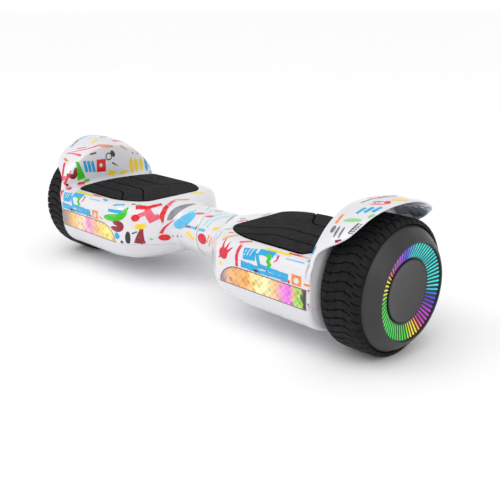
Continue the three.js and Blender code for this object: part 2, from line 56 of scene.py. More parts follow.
SLOT_OF = {part["node"]: part["material_slot"] for part in RECORD["subparts"]}


def span(node, axis):
    """Lowest and highest place of a CAD node along an axis, in millimetres."""
    low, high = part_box(node)
    return low[axis] * 1000, high[axis] * 1000


# ---- Dimensions, from the frame where it states them ----
AXIS_Z = sum(span("pivot_shaft", 2)) / 2
PAD_TOP = span("right_foot_pad", 2)[1]
SPLIT_Z = span("right_lower_shell", 2)[1]
SPLIT_GAP = 0.3
SEAM_X = span("right_upper_shell", 0)[0]
STRIP_Z = span("right_light_strip_lens", 2)
STRIP_X = span("right_light_strip_lens", 0)
STRIP_NOSE = 34
STRIP_CUT = (-130, -86)  # y of the lens's seat in the shell
LENS_CUT = (-130, -80)
TYRE_X = span("right_tyre", 0)
TYRE_R = AXIS_Z
LIP_X = span("right_wheel_cover", 0)[1]
COVER_R = 75.2
RING_R = (38.2, 57.6)
RING_X = span("right_ring_lens", 0)[1]
RING_DEPTH = 6
FIT = 0.3

WALL = 3
NECK_R = 34.4
BODY_W = 93
BODY_T = 39.5
BODY_B = 59.5
DECK_CEILING = 33  # underside of the deck above the axis
DECK_FLOOR = PAD_TOP - 5
# x, half depth, top, depth below the axis, squareness
SECTIONS = [
    (SEAM_X, NECK_R, NECK_R, NECK_R, 0),
    (30, NECK_R, NECK_R, NECK_R, 0),
    (42, NECK_R, NECK_R, NECK_R, 0),
    (49, 39, 35.6, 34.6, 0),
    (56, 50.5, 37, 36.5, 0.05),
    (66, 64, 38.2, 41, 0.2),
    (80, 77, 39, 46, 0.5),
    (95, 87, 39.4, 50, 0.85),
    (110, BODY_W, BODY_T, 53.5, 1),
    (150, BODY_W, BODY_T, BODY_B, 1),
    (260, BODY_W, BODY_T, BODY_B, 1),
]
BODY_END = 257
AXLE_HOLE_R = 20.5
ARCH_WALL_R = 97
ARCH_TOP_R = 104
ARCH_FOOT_X = 259.5
ARCH_TIP_X = 320
# outer lip of the fender: degrees from the top, negative towards the front, and x
ARCH_LIP = [
    (-180, ARCH_FOOT_X), (-66, ARCH_FOOT_X), (-60, 261.5), (-54, 271), (-49, 284), (-44, 293), (-36, 299),
    (-25, 304), (-12, 311), (0, 317), (15, ARCH_TIP_X), (30, 318), (44, 301), (52, 284), (60, 262),
    (66, ARCH_FOOT_X), (180, ARCH_FOOT_X),
]

COLUMNS = 240  # round the shell
ROUND = 128  # round a wheel's covers


# ---- Meshes ----
def smooth_table(table):
    """A smooth function through (x, value) pairs that never overshoots them."""
    xs = np.array([row[0] for row in table], float)
    ys = np.array([row[1] for row in table], float)
    steps = np.diff(ys) / np.diff(xs)
    slopes = np.zeros(len(xs))
    for i in range(1, len(xs) - 1):
        a, b = steps[i - 1], steps[i]
        slopes[i] = 0 if a * b <= 0 else 2 * a * b / (a + b)

    def value(x):
        x = np.clip(x, xs[0], xs[-1])
        i = np.clip(np.searchsorted(xs, x) - 1, 0, len(xs) - 2)
        width = xs[i + 1] - xs[i]
        u = (x - xs[i]) / width
        start = ys[i] * (1 + 2 * u) * (1 - u) ** 2 + slopes[i] * width * u * (1 - u) ** 2
        end = ys[i + 1] * u * u * (3 - 2 * u) + slopes[i + 1] * width * u * u * (u - 1)
        return start + end

    return value


def mesh_from(name, points, faces):
    """A mesh from points in millimetres, with its faces turned outwards."""
    mesh = bpy.data.meshes.new(name)
    mesh.from_pydata([tuple(p) for p in np.asarray(points, float) / 1000], [], faces)
    form = bmesh.new()
    form.from_mesh(mesh)
    bmesh.ops.recalc_face_normals(form, faces=form.faces)
    form.to_mesh(mesh)
    form.free()
    return mesh


def grid_faces(rows, columns, closed_rows):
    """Quads between rows of points; each row closes on itself, and the rows do too if asked."""
    faces = []
    for j in range(rows if closed_rows else rows - 1):
        k = (j + 1) % rows
        for i in range(columns):
            n = (i + 1) % columns
            faces.append((j * columns + i, j * columns + n, k * columns + n, k * columns + i))
    return faces


def turned(name, profile, sides=ROUND):
    """A ring about the wheel axis from a closed profile of (x, radius)."""
    angles = np.arange(sides) * 2 * math.pi / sides
    points = []
    for x, r in profile:
        for a in angles:
            points.append((x, r * math.sin(a), AXIS_Z + r * math.cos(a)))
    return mesh_from(name, points, grid_faces(len(profile), sides, True))


def rounded(profile, turns=2, closed=True, keep=0.25):
    """Cuts each corner of a polyline, turns times."""
    points = [np.array(p, float) for p in profile]
    for _ in range(turns):
        cut = [] if closed else [points[0]]
        last = len(points) if closed else len(points) - 1
        for i in range(last):
            a, b = points[i], points[(i + 1) % len(points)]
            cut += [a + (b - a) * keep, b - (b - a) * keep]
        points = cut if closed else cut + [points[-1]]
    return points


def prism(name, outline, low, high, axis):
    """An outline extruded along an axis: its points are (x, y) for axis 2 and (x, z) for axis 1."""
    count = len(outline)
    place = (lambda a, b, c: (a, b, c)) if axis == 2 else (lambda a, b, c: (a, c, b))
    points = [place(a, b, level) for level in (low, high) for a, b in outline]
    faces = [tuple(range(count)), tuple(range(count, 2 * count))]
    faces += [(i, (i + 1) % count, (i + 1) % count + count, i + count) for i in range(count)]
    return mesh_from(name, points, faces)


def block(name, x, y, z):
    return prism(name, [(x[0], y[0]), (x[1], y[0]), (x[1], y[1]), (x[0], y[1])], z[0], z[1], 2)


def rod(name, radius, low, high, centre, axis, sides=48):
    """A cylinder along axis 1 or 2; centre is its other two coordinates."""
    angles = [2 * math.pi * i / sides for i in range(sides)]
    outline = [(centre[0] + radius * math.cos(a), centre[1] + radius * math.sin(a)) for a in angles]
    return prism(name, outline, low, high, axis)


def combine(mesh, cutter, operation):
    """The boolean of two meshes, as a new mesh."""
    target = bpy.data.objects.new("boolean_target", mesh)
    tool = bpy.data.objects.new("boolean_tool", cutter)
    for thing in (target, tool):
        bpy.context.scene.collection.objects.link(thing)
    modifier = target.modifiers.new("boolean", "BOOLEAN")
    modifier.operation = operation
    modifier.object = tool
    modifier.solver = "EXACT"
    graph = bpy.context.evaluated_depsgraph_get()
    result = bpy.data.meshes.new_from_object(target.evaluated_get(graph))
    bpy.data.objects.remove(target)
    bpy.data.objects.remove(tool)
    return result


def without(mesh, *cutters):
    for cutter in cutters:
        mesh = combine(mesh, cutter, "DIFFERENCE")
    return mesh


def mirrored(mesh):
    """The same mesh for the left half."""
    copy = mesh.copy()
    copy.transform(Matrix.Scale(-1, 4, (1, 0, 0)))
    copy.flip_normals()
    return copy


def arc(centre, radii, start, end, steps):
    angles = np.radians(np.linspace(start, end, steps + 1))
    return [(centre[0] + radii[0] * math.cos(a), centre[1] + radii[1] * math.sin(a)) for a in angles]


def joined(name, *meshes):
    form = bmesh.new()
    for mesh in meshes:
        form.from_mesh(mesh)
    whole = bpy.data.meshes.new(name)
    form.to_mesh(whole)
    form.free()
    return whole


def add_piece(name, mesh, materials, stands_for=None, body=None, crease=32):
    """Adds a finished piece, shaded smooth but for edges sharper than crease degrees."""
    mesh.name = name
    piece = bpy.data.objects.new(name, mesh)
    bpy.context.scene.collection.objects.link(piece)
    choices = [polygon.material_index for polygon in mesh.polygons]
    mesh.materials.clear()
    for look in materials if isinstance(materials, list) else [materials]:
        mesh.materials.append(look)
    mesh.polygons.foreach_set("material_index", choices)
    mesh.shade_smooth()
    mesh.set_sharp_from_angle(angle=math.radians(crease))
    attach(piece, body or BODY_OF[stands_for])
    if stands_for:
        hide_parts(stands_for)
    return piece


def both_sides(name, mesh, materials, crease=32):
    """One mesh as the right piece and mirrored as the left one, in place of their CAD nodes."""
    left = materials["left"] if isinstance(materials, dict) else materials
    right = materials["right"] if isinstance(materials, dict) else materials
    add_piece("left_made_" + name, mirrored(mesh), left, "left_" + name, crease=crease)
    add_piece("right_made_" + name, mesh, right, "right_" + name, crease=crease)


# ---- Materials ----
class Look:
    """A node material round one Principled shader, with short ways to add its textures."""

    def __init__(self, name, roughness=0.5, metallic=0.0, coat=0.0, specular=0.5):
        self.material = bpy.data.materials.new(name)
        self.material.use_nodes = True
        self.tree = self.material.node_tree
        self.shader = self.tree.nodes["Principled BSDF"]
        self.shader.inputs["Roughness"].default_value = roughness
        self.shader.inputs["Metallic"].default_value = metallic
        self.shader.inputs["Coat Weight"].default_value = coat
        self.shader.inputs["Coat Roughness"].default_value = 0.06
        self.shader.inputs["Specular IOR Level"].default_value = specular
        self.place = self.tree.nodes.new("ShaderNodeTexCoord").outputs["Object"]

    def link(self, output, node_input):
        self.tree.links.new(output, node_input)

    def noise(self, scale, detail=3.0, vector=None):
        node = self.tree.nodes.new("ShaderNodeTexNoise")
        node.inputs["Scale"].default_value = scale
        node.inputs["Detail"].default_value = detail
        self.link(vector or self.place, node.inputs["Vector"])
        return node.outputs["Fac"]

    def ramp(self, factor, stops, interpolation="LINEAR"):
        """stops are (place, colour or grey)."""
        node = self.tree.nodes.new("ShaderNodeValToRGB")
        node.color_ramp.interpolation = interpolation
        points = node.color_ramp.elements
        while len(points) < len(stops):
            points.new(0.5)
        for point, (place, colour) in zip(points, stops):
            point.position = place
            point.color = (*colour, 1) if isinstance(colour, tuple) else (colour, colour, colour, 1)
        self.link(factor, node.inputs["Fac"])
        return node.outputs["Color"]

    def maths(self, operation, a, b=0.0, c=0.0):
        node = self.tree.nodes.new("ShaderNodeMath")
        node.operation = operation
        for value, socket in zip((a, b, c), node.inputs):
            if isinstance(value, (int, float)):
                socket.default_value = value
            else:
                self.link(value, socket)
        return node.outputs[0]

    def axes(self):
        node = self.tree.nodes.new("ShaderNodeSeparateXYZ")
        self.link(self.place, node.inputs[0])
        return node.outputs

    def mix(self, factor, a, b, blend="MIX"):
        node = self.tree.nodes.new("ShaderNodeMix")
        node.data_type = "RGBA"
        node.blend_type = blend
        for value, socket in zip((factor, a, b), (node.inputs[0], node.inputs[6], node.inputs[7])):
            if isinstance(value, (int, float)):
                socket.default_value = value
            elif isinstance(value, tuple):
                socket.default_value = (*value, 1)
            else:
                self.link(value, socket)
        return node.outputs[2]

    def colour(self, output):
        self.link(output, self.shader.inputs["Base Color"])

    def roughness(self, factor, low, high):
        self.link(self.ramp(factor, [(0.3, low), (0.7, high)]), self.shader.inputs["Roughness"])

    def bump(self, height, distance, strength=1.0):
        node = self.tree.nodes.new("ShaderNodeBump")
        node.inputs["Distance"].default_value = distance
        node.inputs["Strength"].default_value = strength
        self.link(height, node.inputs["Height"])
        self.link(node.outputs[0], self.shader.inputs["Normal"])

    def glow(self, output, strength):
        self.link(output, self.shader.inputs["Emission Color"])
        self.shader.inputs["Emission Strength"].default_value = strength


def shade(colour, factor):
    return tuple(min(1, c * factor) for c in colour)


def moulded(name, colour, roughness, coat=0.0, grain=900, depth=0.00004, spread=0.08):
    """Moulded plastic: a faint unevenness of tone, fine grain and roughness that wanders."""
    look = Look(name, coat=coat)
    tone = look.noise(14, 4)
    look.colour(look.ramp(tone, [(0.3, shade(colour, 1 - spread)), (0.7, shade(colour, 1 + spread))]))
    look.roughness(look.noise(60, 5), roughness * 0.85, roughness * 1.15)
    look.bump(look.noise(grain, 2), depth, 0.5)
    return look.material


def gloss_white(name, colour):
    """Glossy moulded white: very smooth, with a faint orange peel in the lacquer."""
    look = Look(name, coat=0.6)
    look.colour(look.ramp(look.noise(8, 3), [(0.35, shade(colour, 0.97)), (0.65, colour)]))
    look.roughness(look.noise(40, 5), 0.16, 0.24)
    look.bump(look.noise(160, 1), 0.00003, 0.25)
    return look.material


def rubber(name, colour, grain, depth):
    look = Look(name, specular=0.2)
    fine = look.noise(grain, 4)
    look.colour(look.ramp(look.noise(30, 4), [(0.3, shade(colour, 0.85)), (0.7, shade(colour, 1.2))]))
    look.roughness(look.noise(90, 4), 0.55, 0.78)
    look.bump(fine, depth, 0.6)
    return look.material


def pad_rubber(name, colour):
    """The foot pad's rubber: dull, finely grained, with painted shade that makes it black down in its grooves and
    everywhere below its top face.
    """
    look = Look(name, specular=0.04)
    tone = look.ramp(look.noise(30, 4), [(0.3, shade(colour, 0.85)), (0.7, shade(colour, 1.2))])
    # painted shade: all surfaces more than 0.5 mm below the top face, the grooves above all, get a near black colour
    # instead of the rubber's tone
    painted_shade_below_top = look.maths("LESS_THAN", look.axes()[2], (PAD_TOP - 0.5) / 1000)
    look.colour(look.mix(painted_shade_below_top, tone, (0.0006, 0.0006, 0.0006)))
    look.roughness(look.noise(90, 4), 0.6, 0.8)
    look.bump(look.noise(1600, 4), 0.0001, 0.6)
    return look.material


def metal(name, colour, roughness, grain=700, stretch=None):
    """Machined or cast metal; stretch draws the grain out along x."""
    look = Look(name, metallic=1.0)
    vector = look.place
    if stretch:
        mapping = look.tree.nodes.new("ShaderNodeMapping")
        mapping.inputs["Scale"].default_value = (1, stretch, stretch)
        look.link(look.place, mapping.inputs["Vector"])
        vector = mapping.outputs[0]
    grains = look.noise(grain, 4, vector)
    look.colour(look.ramp(look.noise(25, 3), [(0.3, shade(colour, 0.85)), (0.7, shade(colour, 1.1))]))
    look.roughness(grains, roughness * 0.75, roughness * 1.3)
    look.bump(grains, 0.00005, 0.4)
    return look.material


def circuit(name):
    """Green board with lighter copper tracks under the lacquer."""
    look = Look(name, coat=0.3)
    x, y, _ = look.axes()
    steps = [look.maths("SINE", look.maths("MULTIPLY", axis, 1800)) for axis in (x, y)]
    tracks = look.maths("GREATER_THAN", look.maths("MAXIMUM", *steps), 0.93)
    broken = look.maths("MULTIPLY", tracks, look.maths("GREATER_THAN", look.noise(120, 2), 0.5))
    look.colour(look.mix(broken, (0.012, 0.09, 0.035), (0.06, 0.22, 0.08)))
    look.roughness(look.noise(200, 3), 0.35, 0.5)
    look.bump(broken, 0.00005)
    return look.material


def quilted_light(name, stops):
    """A lit lens over a diamond pattern of facets; stops colour it from its inner tip outwards."""
    look = Look(name, roughness=0.12, coat=0.8)
    x, _, z = look.axes()
    along = look.maths("ABSOLUTE", x)
    past_tip = look.maths("SUBTRACT", along, STRIP_X[0] / 1000)
    share = look.maths("DIVIDE", past_tip, (STRIP_X[1] - STRIP_X[0]) / 1000)
    rise = look.maths("MULTIPLY", z, 1.05)
    past_nose = look.maths("SUBTRACT", along, (STRIP_X[0] + STRIP_NOSE) / 1000)
    nose = look.maths("DIVIDE", look.maths("MINIMUM", past_nose, 0.0), STRIP_NOSE / 1000)
    low, high = STRIP_Z[0] / 1000, STRIP_Z[1] / 1000
    level = look.maths("DIVIDE", look.maths("SUBTRACT", z, low), high - low)
    squares = [look.maths("POWER", value, 2.0) for value in (nose, level)]
    round_edge = look.maths("SQRT", look.maths("ADD", *squares))
    ends = look.maths("GREATER_THAN", along, (STRIP_X[1] - 1.0) / 1000)
    curved_rim = look.maths("GREATER_THAN", round_edge, 0.955)
    rim = look.maths("MAXIMUM", curved_rim, look.maths("LESS_THAN", level, 0.035))
    cells = []
    facets = []
    for sign in ("ADD", "SUBTRACT"):
        slant = look.maths("DIVIDE", look.maths(sign, along, rise), 0.0088)
        cells.append(look.maths("FLOOR", slant))
        facets.append(look.maths("ABSOLUTE", look.maths("SUBTRACT", look.maths("FRACT", slant), 0.5)))
    edge = look.maths("MAXIMUM", *facets)
    cell = look.tree.nodes.new("ShaderNodeCombineXYZ")
    look.link(cells[0], cell.inputs[0])
    look.link(cells[1], cell.inputs[1])
    sparkle = look.tree.nodes.new("ShaderNodeTexWhiteNoise")
    sparkle.noise_dimensions = "3D"
    look.link(cell.outputs[0], sparkle.inputs["Vector"])
    wobble = look.maths("MULTIPLY", look.maths("SUBTRACT", sparkle.outputs["Value"], 0.5), 0.06)
    base = look.ramp(look.maths("ADD", share, wobble), stops)
    facet = look.ramp(edge, [(0.0, 0.80), (0.34, 0.95), (0.43, 1.0), (0.5, 1.4)])
    lit = look.mix(1.0, base, facet, "MULTIPLY")
    sparks = look.ramp(sparkle.outputs["Value"], [(0.0, 0.7), (0.7, 1.0), (0.95, 1.25)])
    lit = look.mix(1.0, lit, sparks, "MULTIPLY")
    lit = look.mix(look.maths("MAXIMUM", rim, ends), lit, (0.16, 0.09, 0.07))
    look.colour(look.mix(1.0, lit, (0.4, 0.4, 0.4), "MULTIPLY"))
    look.glow(lit, 0.66)
    look.bump(look.maths("SUBTRACT", 0.5, edge), 0.0012, 0.5)
    return look.material


def ring_glow(name, stops):
    """Light whose colour goes round the wheel; stops start at the bottom and go through the front."""
    look = Look(name, roughness=0.25)
    _, y, z = look.axes()
    height = look.maths("SUBTRACT", z, AXIS_Z / 1000)
    angle = look.maths("ARCTAN2", y, height)
    turn = look.maths("ADD", look.maths("DIVIDE", angle, 2 * math.pi), 0.5)
    lit = look.ramp(turn, stops)
    grain = look.ramp(look.noise(150, 2), [(0.3, 0.8), (0.7, 1.1)])
    lit = look.mix(1.0, lit, grain, "MULTIPLY")
    look.colour(look.mix(1.0, lit, (0.3, 0.3, 0.3), "MULTIPLY"))
    look.glow(lit, 0.95)
    return look.material


def smoked(name):
    look = Look(name, roughness=0.12, coat=0.7)
    look.colour(look.ramp(look.noise(35, 3), [(0.3, (0.13, 0.135, 0.15)), (0.7, (0.24, 0.245, 0.26))]))
    look.bump(look.noise(260, 1), 0.00006, 0.3)
    return look.material


PAINTS = {
    "sky": (0.004, 0.36, 0.68),
    "light_blue": (0.11, 0.48, 0.76),
    "cyan": (0.25, 0.72, 0.75),
    "navy": (0.03, 0.10, 0.35),
    "blue": (0.02, 0.08, 0.55),
    "red": (0.70, 0.002, 0.006),
    "pink": (0.78, 0.10, 0.16),
    "maroon": (0.25, 0.01, 0.02),
    "green": (0.035, 0.50, 0.004),
    "leaf": (0.25, 0.60, 0.20),
    "yellow": (0.85, 0.62, 0.02),
    "orange": (0.80, 0.24, 0.03),
    "black": (0.015, 0.015, 0.02),
    "grey": (0.16, 0.16, 0.18),
    "slate": (0.17, 0.21, 0.30),
    "crimson": (0.66, 0.008, 0.035),
    "salmon": (0.80, 0.30, 0.20),
    "lilac": (0.42, 0.36, 0.62),
    "white": (0.70, 0.69, 0.725),
}


def painted(name, colour):
    """A stroke of glossy print: streaky colour that lets a little white through."""
    look = Look(name, coat=0.25, specular=0.4)
    mapping = look.tree.nodes.new("ShaderNodeMapping")
    mapping.inputs["Rotation"].default_value = (0.3, 0.5, 0.6)
    mapping.inputs["Scale"].default_value = (60, 240, 240)
    look.link(look.place, mapping.inputs["Vector"])
    streaks = look.noise(1.0, 4, mapping.outputs[0])
    pale = tuple(c + (0.85 - c) * 0.07 for c in colour)
    look.colour(look.ramp(streaks, [(0.3, shade(colour, 0.85)), (0.55, colour), (0.75, pale)]))
    look.roughness(look.noise(60, 4), 0.18, 0.28)
    return look.material


WHITE = gloss_white("shell_gloss_white", (0.70, 0.69, 0.725))
LOWER_WHITE = gloss_white("shell_plain_white", (0.66, 0.655, 0.69))
PAD = pad_rubber("foot_pad_rubber", (0.017, 0.017, 0.018))
TYRE = rubber("tyre_rubber_black", (0.005, 0.005, 0.006), 1100, 0.0001)
COVER = moulded("cover_dark_grey", (0.018, 0.018, 0.020), 0.42, grain=1400)
CAP = moulded("hub_cap_grey", (0.014, 0.014, 0.016), 0.33, grain=1800)
BLACK = moulded("black_plastic_satin", (0.012, 0.012, 0.013), 0.4)
SMOKE = smoked("smoked_lens")
CAD_LOOKS = {
    "shell_print": WHITE,
    "shell_white": LOWER_WHITE,
    "pad_rubber": PAD,
    "tyre_rubber": TYRE,
    "cover_grey": COVER,
    "smoke_lens": SMOKE,
    "board": circuit("circuit_board_green"),
    "black_plastic": BLACK,
    "cast_aluminium": metal("cast_aluminium_grain", (0.52, 0.54, 0.56), 0.45, grain=900),
    "steel": metal("turned_steel", (0.45, 0.46, 0.48), 0.28, stretch=30),
    "brass": metal("turned_brass", (0.60, 0.40, 0.13), 0.3, stretch=30),
    "copper": metal("copper_windings", (0.45, 0.16, 0.06), 0.4, grain=400, stretch=12),
}


# ---- Shell of one half ----
def body_radius(x, theta, inset=0.0, deck_inset=0.0):
    """Distance from the axis to the body at x, in the direction theta from the top."""
    w, t, b, q = (smooth_table([(row[0], row[k]) for row in SECTIONS])(x) for k in range(1, 5))
    w = w - inset
    top = t - inset - deck_inset * np.minimum(1, 1.2 * q)
    below = b - inset
    up = np.cos(theta) > 0
    height = np.where(up, top, below)
    power = np.where(up, 2 + 5 * q, 2 + q)
    across = np.abs(np.sin(theta) / w) ** power
    along = np.abs(np.cos(theta) / height) ** power
    return (across + along) ** (-1 / power)


def smoothstep(x, low, high):
    u = np.clip((x - low) / (high - low), 0, 1)
    return u * u * (3 - 2 * u)


def arch_rows(theta):
    """The rows of (x, radius) from the deck over the fender to the axle hole."""
    degrees = (180 - np.degrees(theta)) % 360 - 180
    steep = np.abs(degrees)
    base = body_radius(np.full_like(theta, 240.0), theta)
    there = 1 - smoothstep(steep, 66, 86)
    tip = smooth_table(ARCH_LIP)(degrees)
    reach = (tip - ARCH_FOOT_X) / (ARCH_TIP_X - ARCH_FOOT_X)
    wall = np.maximum(ARCH_WALL_R - 4.5 * smoothstep(steep, 58, 82), base + 0.4)
    crest = wall + (ARCH_TOP_R - ARCH_WALL_R) * reach
    arch = [
        (238, base),
        (246, base),
        (250, base),
        (251, base + 0.35 * (wall - base)),
        (251.6, wall - 6),
        (253, wall - 1.4),
        (257 + 8 * reach, wall + 0.6 + 1.2 * reach),
        (258.4 + 30 * reach, crest + 0.6 * reach),
        (tip - 3 * reach, crest - 0.3 * reach),
        (tip, crest - 1.2),
        (tip - 0.6, crest - 3.2),
        (258.3 + 28 * reach, crest - 3.4),
        (258.4 + 4 * reach, wall - 3.4),
        (258.0, wall - 9),
        (257.6, base * 0.72),
        (257.3, 46),
        (BODY_END, AXLE_HOLE_R),
    ]
    plain = [(238, 0), (246, 0), (250, 0), (251.5, 0), (253, -0.5), (254.3, -1.1), (255.3, -2), (256, -3)]
    plain += [(256.5, -4), (256.9, -5.4), (257, -7), (257, -9), (257, -12), (257, -18)]
    plain = [(x, base + drop) for x, drop in plain] + [(257, base * 0.72), (257, 46), (BODY_END, AXLE_HOLE_R)]
    rows = []
    for (ax, ar), (px, pr) in zip(arch, plain):
        x = px + (ax - px) * there
        r = pr + (ar - pr) * there
        rows.append(np.stack([x + 0 * theta, r + 0 * theta]))
    return rounded(rows, closed=False)


def shell_skin():
    """The whole hollow shell of the right half, outer skin and inner skin in one closed surface."""
    theta = np.arange(COLUMNS) * 2 * math.pi / COLUMNS
    rows = []
    for x, drop in ((SEAM_X, 1.0), (SEAM_X + 0.3, 0.3), (SEAM_X + 1, 0)):
        rows.append((np.full_like(theta, x), np.full_like(theta, NECK_R - drop)))
    outer = [*np.linspace(8, 40, 6), *np.linspace(43, 112, 30), *np.linspace(118, 232, 20)]
    for x in outer:
        level = np.full_like(theta, x)
        rows.append((level, body_radius(level, theta)))
    rows += [tuple(row) for row in arch_rows(theta)]
    inner = body_radius(np.full_like(theta, 240.0), theta, WALL, BODY_T - WALL - DECK_CEILING + 0.5)
    for x, share in ((254, None), (254, 0.6), (253.4, 0.93), (250, 1.0)):
        radius = np.full_like(theta, AXLE_HOLE_R) if share is None else inner * share
        rows.append((np.full_like(theta, x), radius))
    for x in [*np.linspace(240, 120, 8), *np.linspace(110, 44, 14), 20, SEAM_X]:
        level = np.full_like(theta, x)
        rows.append((level, body_radius(level, theta, WALL, BODY_T - WALL - DECK_CEILING + 0.5)))
    points = []
    for x, r in rows:
        points += list(zip(x, -r * np.sin(theta), AXIS_Z + r * np.cos(theta)))
    return mesh_from("shell_skin", points, grid_faces(len(rows), COLUMNS, True))


def pad_outline(margin):
    front = arc((151, -38), (62 + margin, 35 + margin), 180, 270, 24)
    front_corner = arc((224, -64), (9 + margin, 9 + margin), 270, 330, 8)
    outer = arc((165, 0), (83 + margin, 120 + margin), -30, 30, 16)
    back_corner = arc((224, 64), (9 + margin, 9 + margin), 30, 90, 8)
    back = arc((151, 38), (62 + margin, 35 + margin), 90, 180, 24)
    return front[:-1] + front_corner + outer + back_corner + back[1:]


def strip_outline(margin):
    z0, z1 = STRIP_Z
    x0, x1 = STRIP_X
    nose = arc((x0 + STRIP_NOSE, z0), (STRIP_NOSE + margin, z1 - z0 + margin), 90, 175, 24)
    return [(x0 - margin, z0 - margin), (x1 + margin, z0 - margin), (x1 + margin, z1 + margin)] + nose


def bend(start, control, end, steps=24):
    """Points of a quadratic curve."""
    shares = np.linspace(0, 1, steps + 1)[:, None]
    start, control, end = (np.array(p, float) for p in (start, control, end))
    return start * (1 - shares) ** 2 + 2 * control * shares * (1 - shares) + end * shares**2


def crescent_outline(margin):
    """From its low tip in front to its blunt end on top of the neck."""
    out = 1.15 * margin
    tip, end = -42 - margin, 4 + margin
    body_side = bend((53.9 + out, tip), (58 + out, -20), (44 + out, end))
    neck_side = bend((52.9 - out, tip), (46 - out, -20), (40.5 - out, end))
    return [tuple(point) for point in [*body_side, *reversed(neck_side)]]


def shell_pieces():
    """Upper shell, lower shell, strip lens and crescent light of the right half, and the uncut skin."""
    skin = shell_skin()
    half = SPLIT_GAP / 2
    split = SPLIT_Z + half
    below = block("below", (-20, 400), (-200, 200), (-20, split + half))
    above = block("above", (-20, 400), (-200, 200), (split - half, 300))
    recess = prism("recess", pad_outline(0.5), DECK_FLOOR, 190, 2)
    strip = prism("strip", strip_outline(FIT), *STRIP_CUT, 1)
    crescent = prism("crescent", crescent_outline(FIT), 99, 130, 2)
    upper = without(skin, below, recess, strip, crescent)
    lower = without(skin, above)
    for x in (150, 204):
        lower = without(lower, rod("screw_pocket", 4.6, 10, 30, (x, 0), 2))
    lens = combine(skin, prism("lens", strip_outline(0), *LENS_CUT, 1), "INTERSECT")
    light = combine(skin, prism("light", crescent_outline(0), 99 + FIT, 130, 2), "INTERSECT")
    return skin, upper, lower, lens, light


def rear_controls(upper):
    """The right shell's holes for the charging socket, its flap and the power button."""
    sx = sum(span("charge_socket", 0)) / 2
    sz = sum(span("charge_socket", 2)) / 2
    bx = sum(span("power_button", 0)) / 2
    bz = sum(span("power_button", 2)) / 2
    flap_y = span("charge_flap", 1)[0] - FIT
    flap_top = span("charge_flap", 2)[1]
    upper = combine(upper, block("socket_boss", (sx - 16, sx + 16), (85, 91.5), (sz - 11, sz + 18)), "UNION")
    upper = combine(upper, rod("button_boss", 12, 87, 91.5, (bx, bz), 1), "UNION")
    return without(
        upper,
        rod("socket_hole", 8.3, 80, 100, (sx, sz), 1),
        rod("button_hole", 8.0, 80, 100, (bx, bz), 1),
        rod("flap_seat", 11.6, flap_y, 100, (sx, sz), 1),
        block("flap_hinge", (sx - 5.5, sx + 5.5), (flap_y, 100), (sz, flap_top + 2)),
    )


# ---- Print on the shell ----
# A stroke is paint, projection, width, shape and its path. The paths are in millimetres of these projections:
# front and rear (x, z), top (x, y), wall (y, z), fender and neck (x, distance round the axis from the top
# towards the front), and lining, the underside of the fender, likewise.
STEP = 1.5
SOCKET_X = 190
BUTTON_X = 148
CONTROLS_Z = 76
SHAPES = {
    "flat": lambda t: 1 + 0 * t,
    "brush": lambda t: 0.86 + 0.14 * np.sin(23 * t) * np.cos(9 * t),
    "taper": lambda t: 1 - 0.8 * t,
    "grow": lambda t: 0.25 + 0.75 * t,
    "spindle": lambda t: np.sqrt(np.clip(1 - (2 * t - 1) ** 2, 0, 1)),
}


def circle(centre, radius, steps=16):
    return arc(centre, (radius, radius), 0, 360, steps)


def spot(paint, projection, centre, size):
    """A round dab."""
    a, b = centre
    return (paint, projection, size, "spindle", [(a - size / 2, b), (a + size / 2, b)])


def bars(paint, projection, start, end, step, width, count):
    """Equal bars side by side, each moved on by step."""
    moves = [(k * step[0], k * step[1]) for k in range(count)]
    return [
        (paint, projection, width, "flat", [(start[0] + a, start[1] + b), (end[0] + a, end[1] + b)])
        for a, b in moves
    ]


def block_motif(projection, place):
    """Slanted blue blocks with white cuts, a green zigzag, smudges and an orange block; place maps along to x."""
    strokes = [
        ("crimson", 5.5, "brush", [(-2, 117), (-6, 104), (-5, 89)]),
        ("sky", 13, "flat", [(5, 109), (25, 111)]),
        ("sky", 10, "brush", [(2, 96), (31, 95)]),
        ("sky", 6, "brush", [(28, 115.5), (52, 116.5)]),
        ("sky", 5, "flat", [(27, 114), (35, 97)]),
        ("sky", 6, "brush", [(30, 100.5), (52, 99.5), (79, 99)]),
        ("sky", 4.4, "flat", [(31, 93), (55, 94), (79, 94.5)]),
        ("white", 1.6, "flat", [(1, 103.5), (18, 101.5), (31, 98.5)]),
        ("white", 1.3, "flat", [(10, 117), (7, 108)]),
        ("white", 1.3, "flat", [(15, 117.5), (12, 109)]),
        ("white", 1.3, "flat", [(20, 118), (17, 109.5)]),
        ("green", 3.8, "flat", [(42, 115), (51, 113), (43, 108.5), (53, 106), (44, 102), (55, 99)]),
        ("crimson", 3, "taper", [(58, 117), (60, 113), (55, 110)]),
        ("black", 4, "spindle", [(23, 93), (35, 92)]),
        ("black", 2.6, "brush", [(41, 94.5), (49, 91)]),
        ("black", 1.8, "brush", [(44, 97), (53, 93.5)]),
        ("crimson", 7, "grow", [(64, 89.5), (82, 91.5)]),
        ("orange", 15, "flat", [(84.5, 96), (99, 96)]),
        ("white", 7, "spindle", [(87.5, 97), (96, 97)]),
        ("orange", 2.6, "spindle", [(102, 96), (112, 94)]),
    ]
    return [
        (paint, projection, width, shape, [(place(a), b) for a, b in path]) for paint, width, shape, path in strokes
    ]


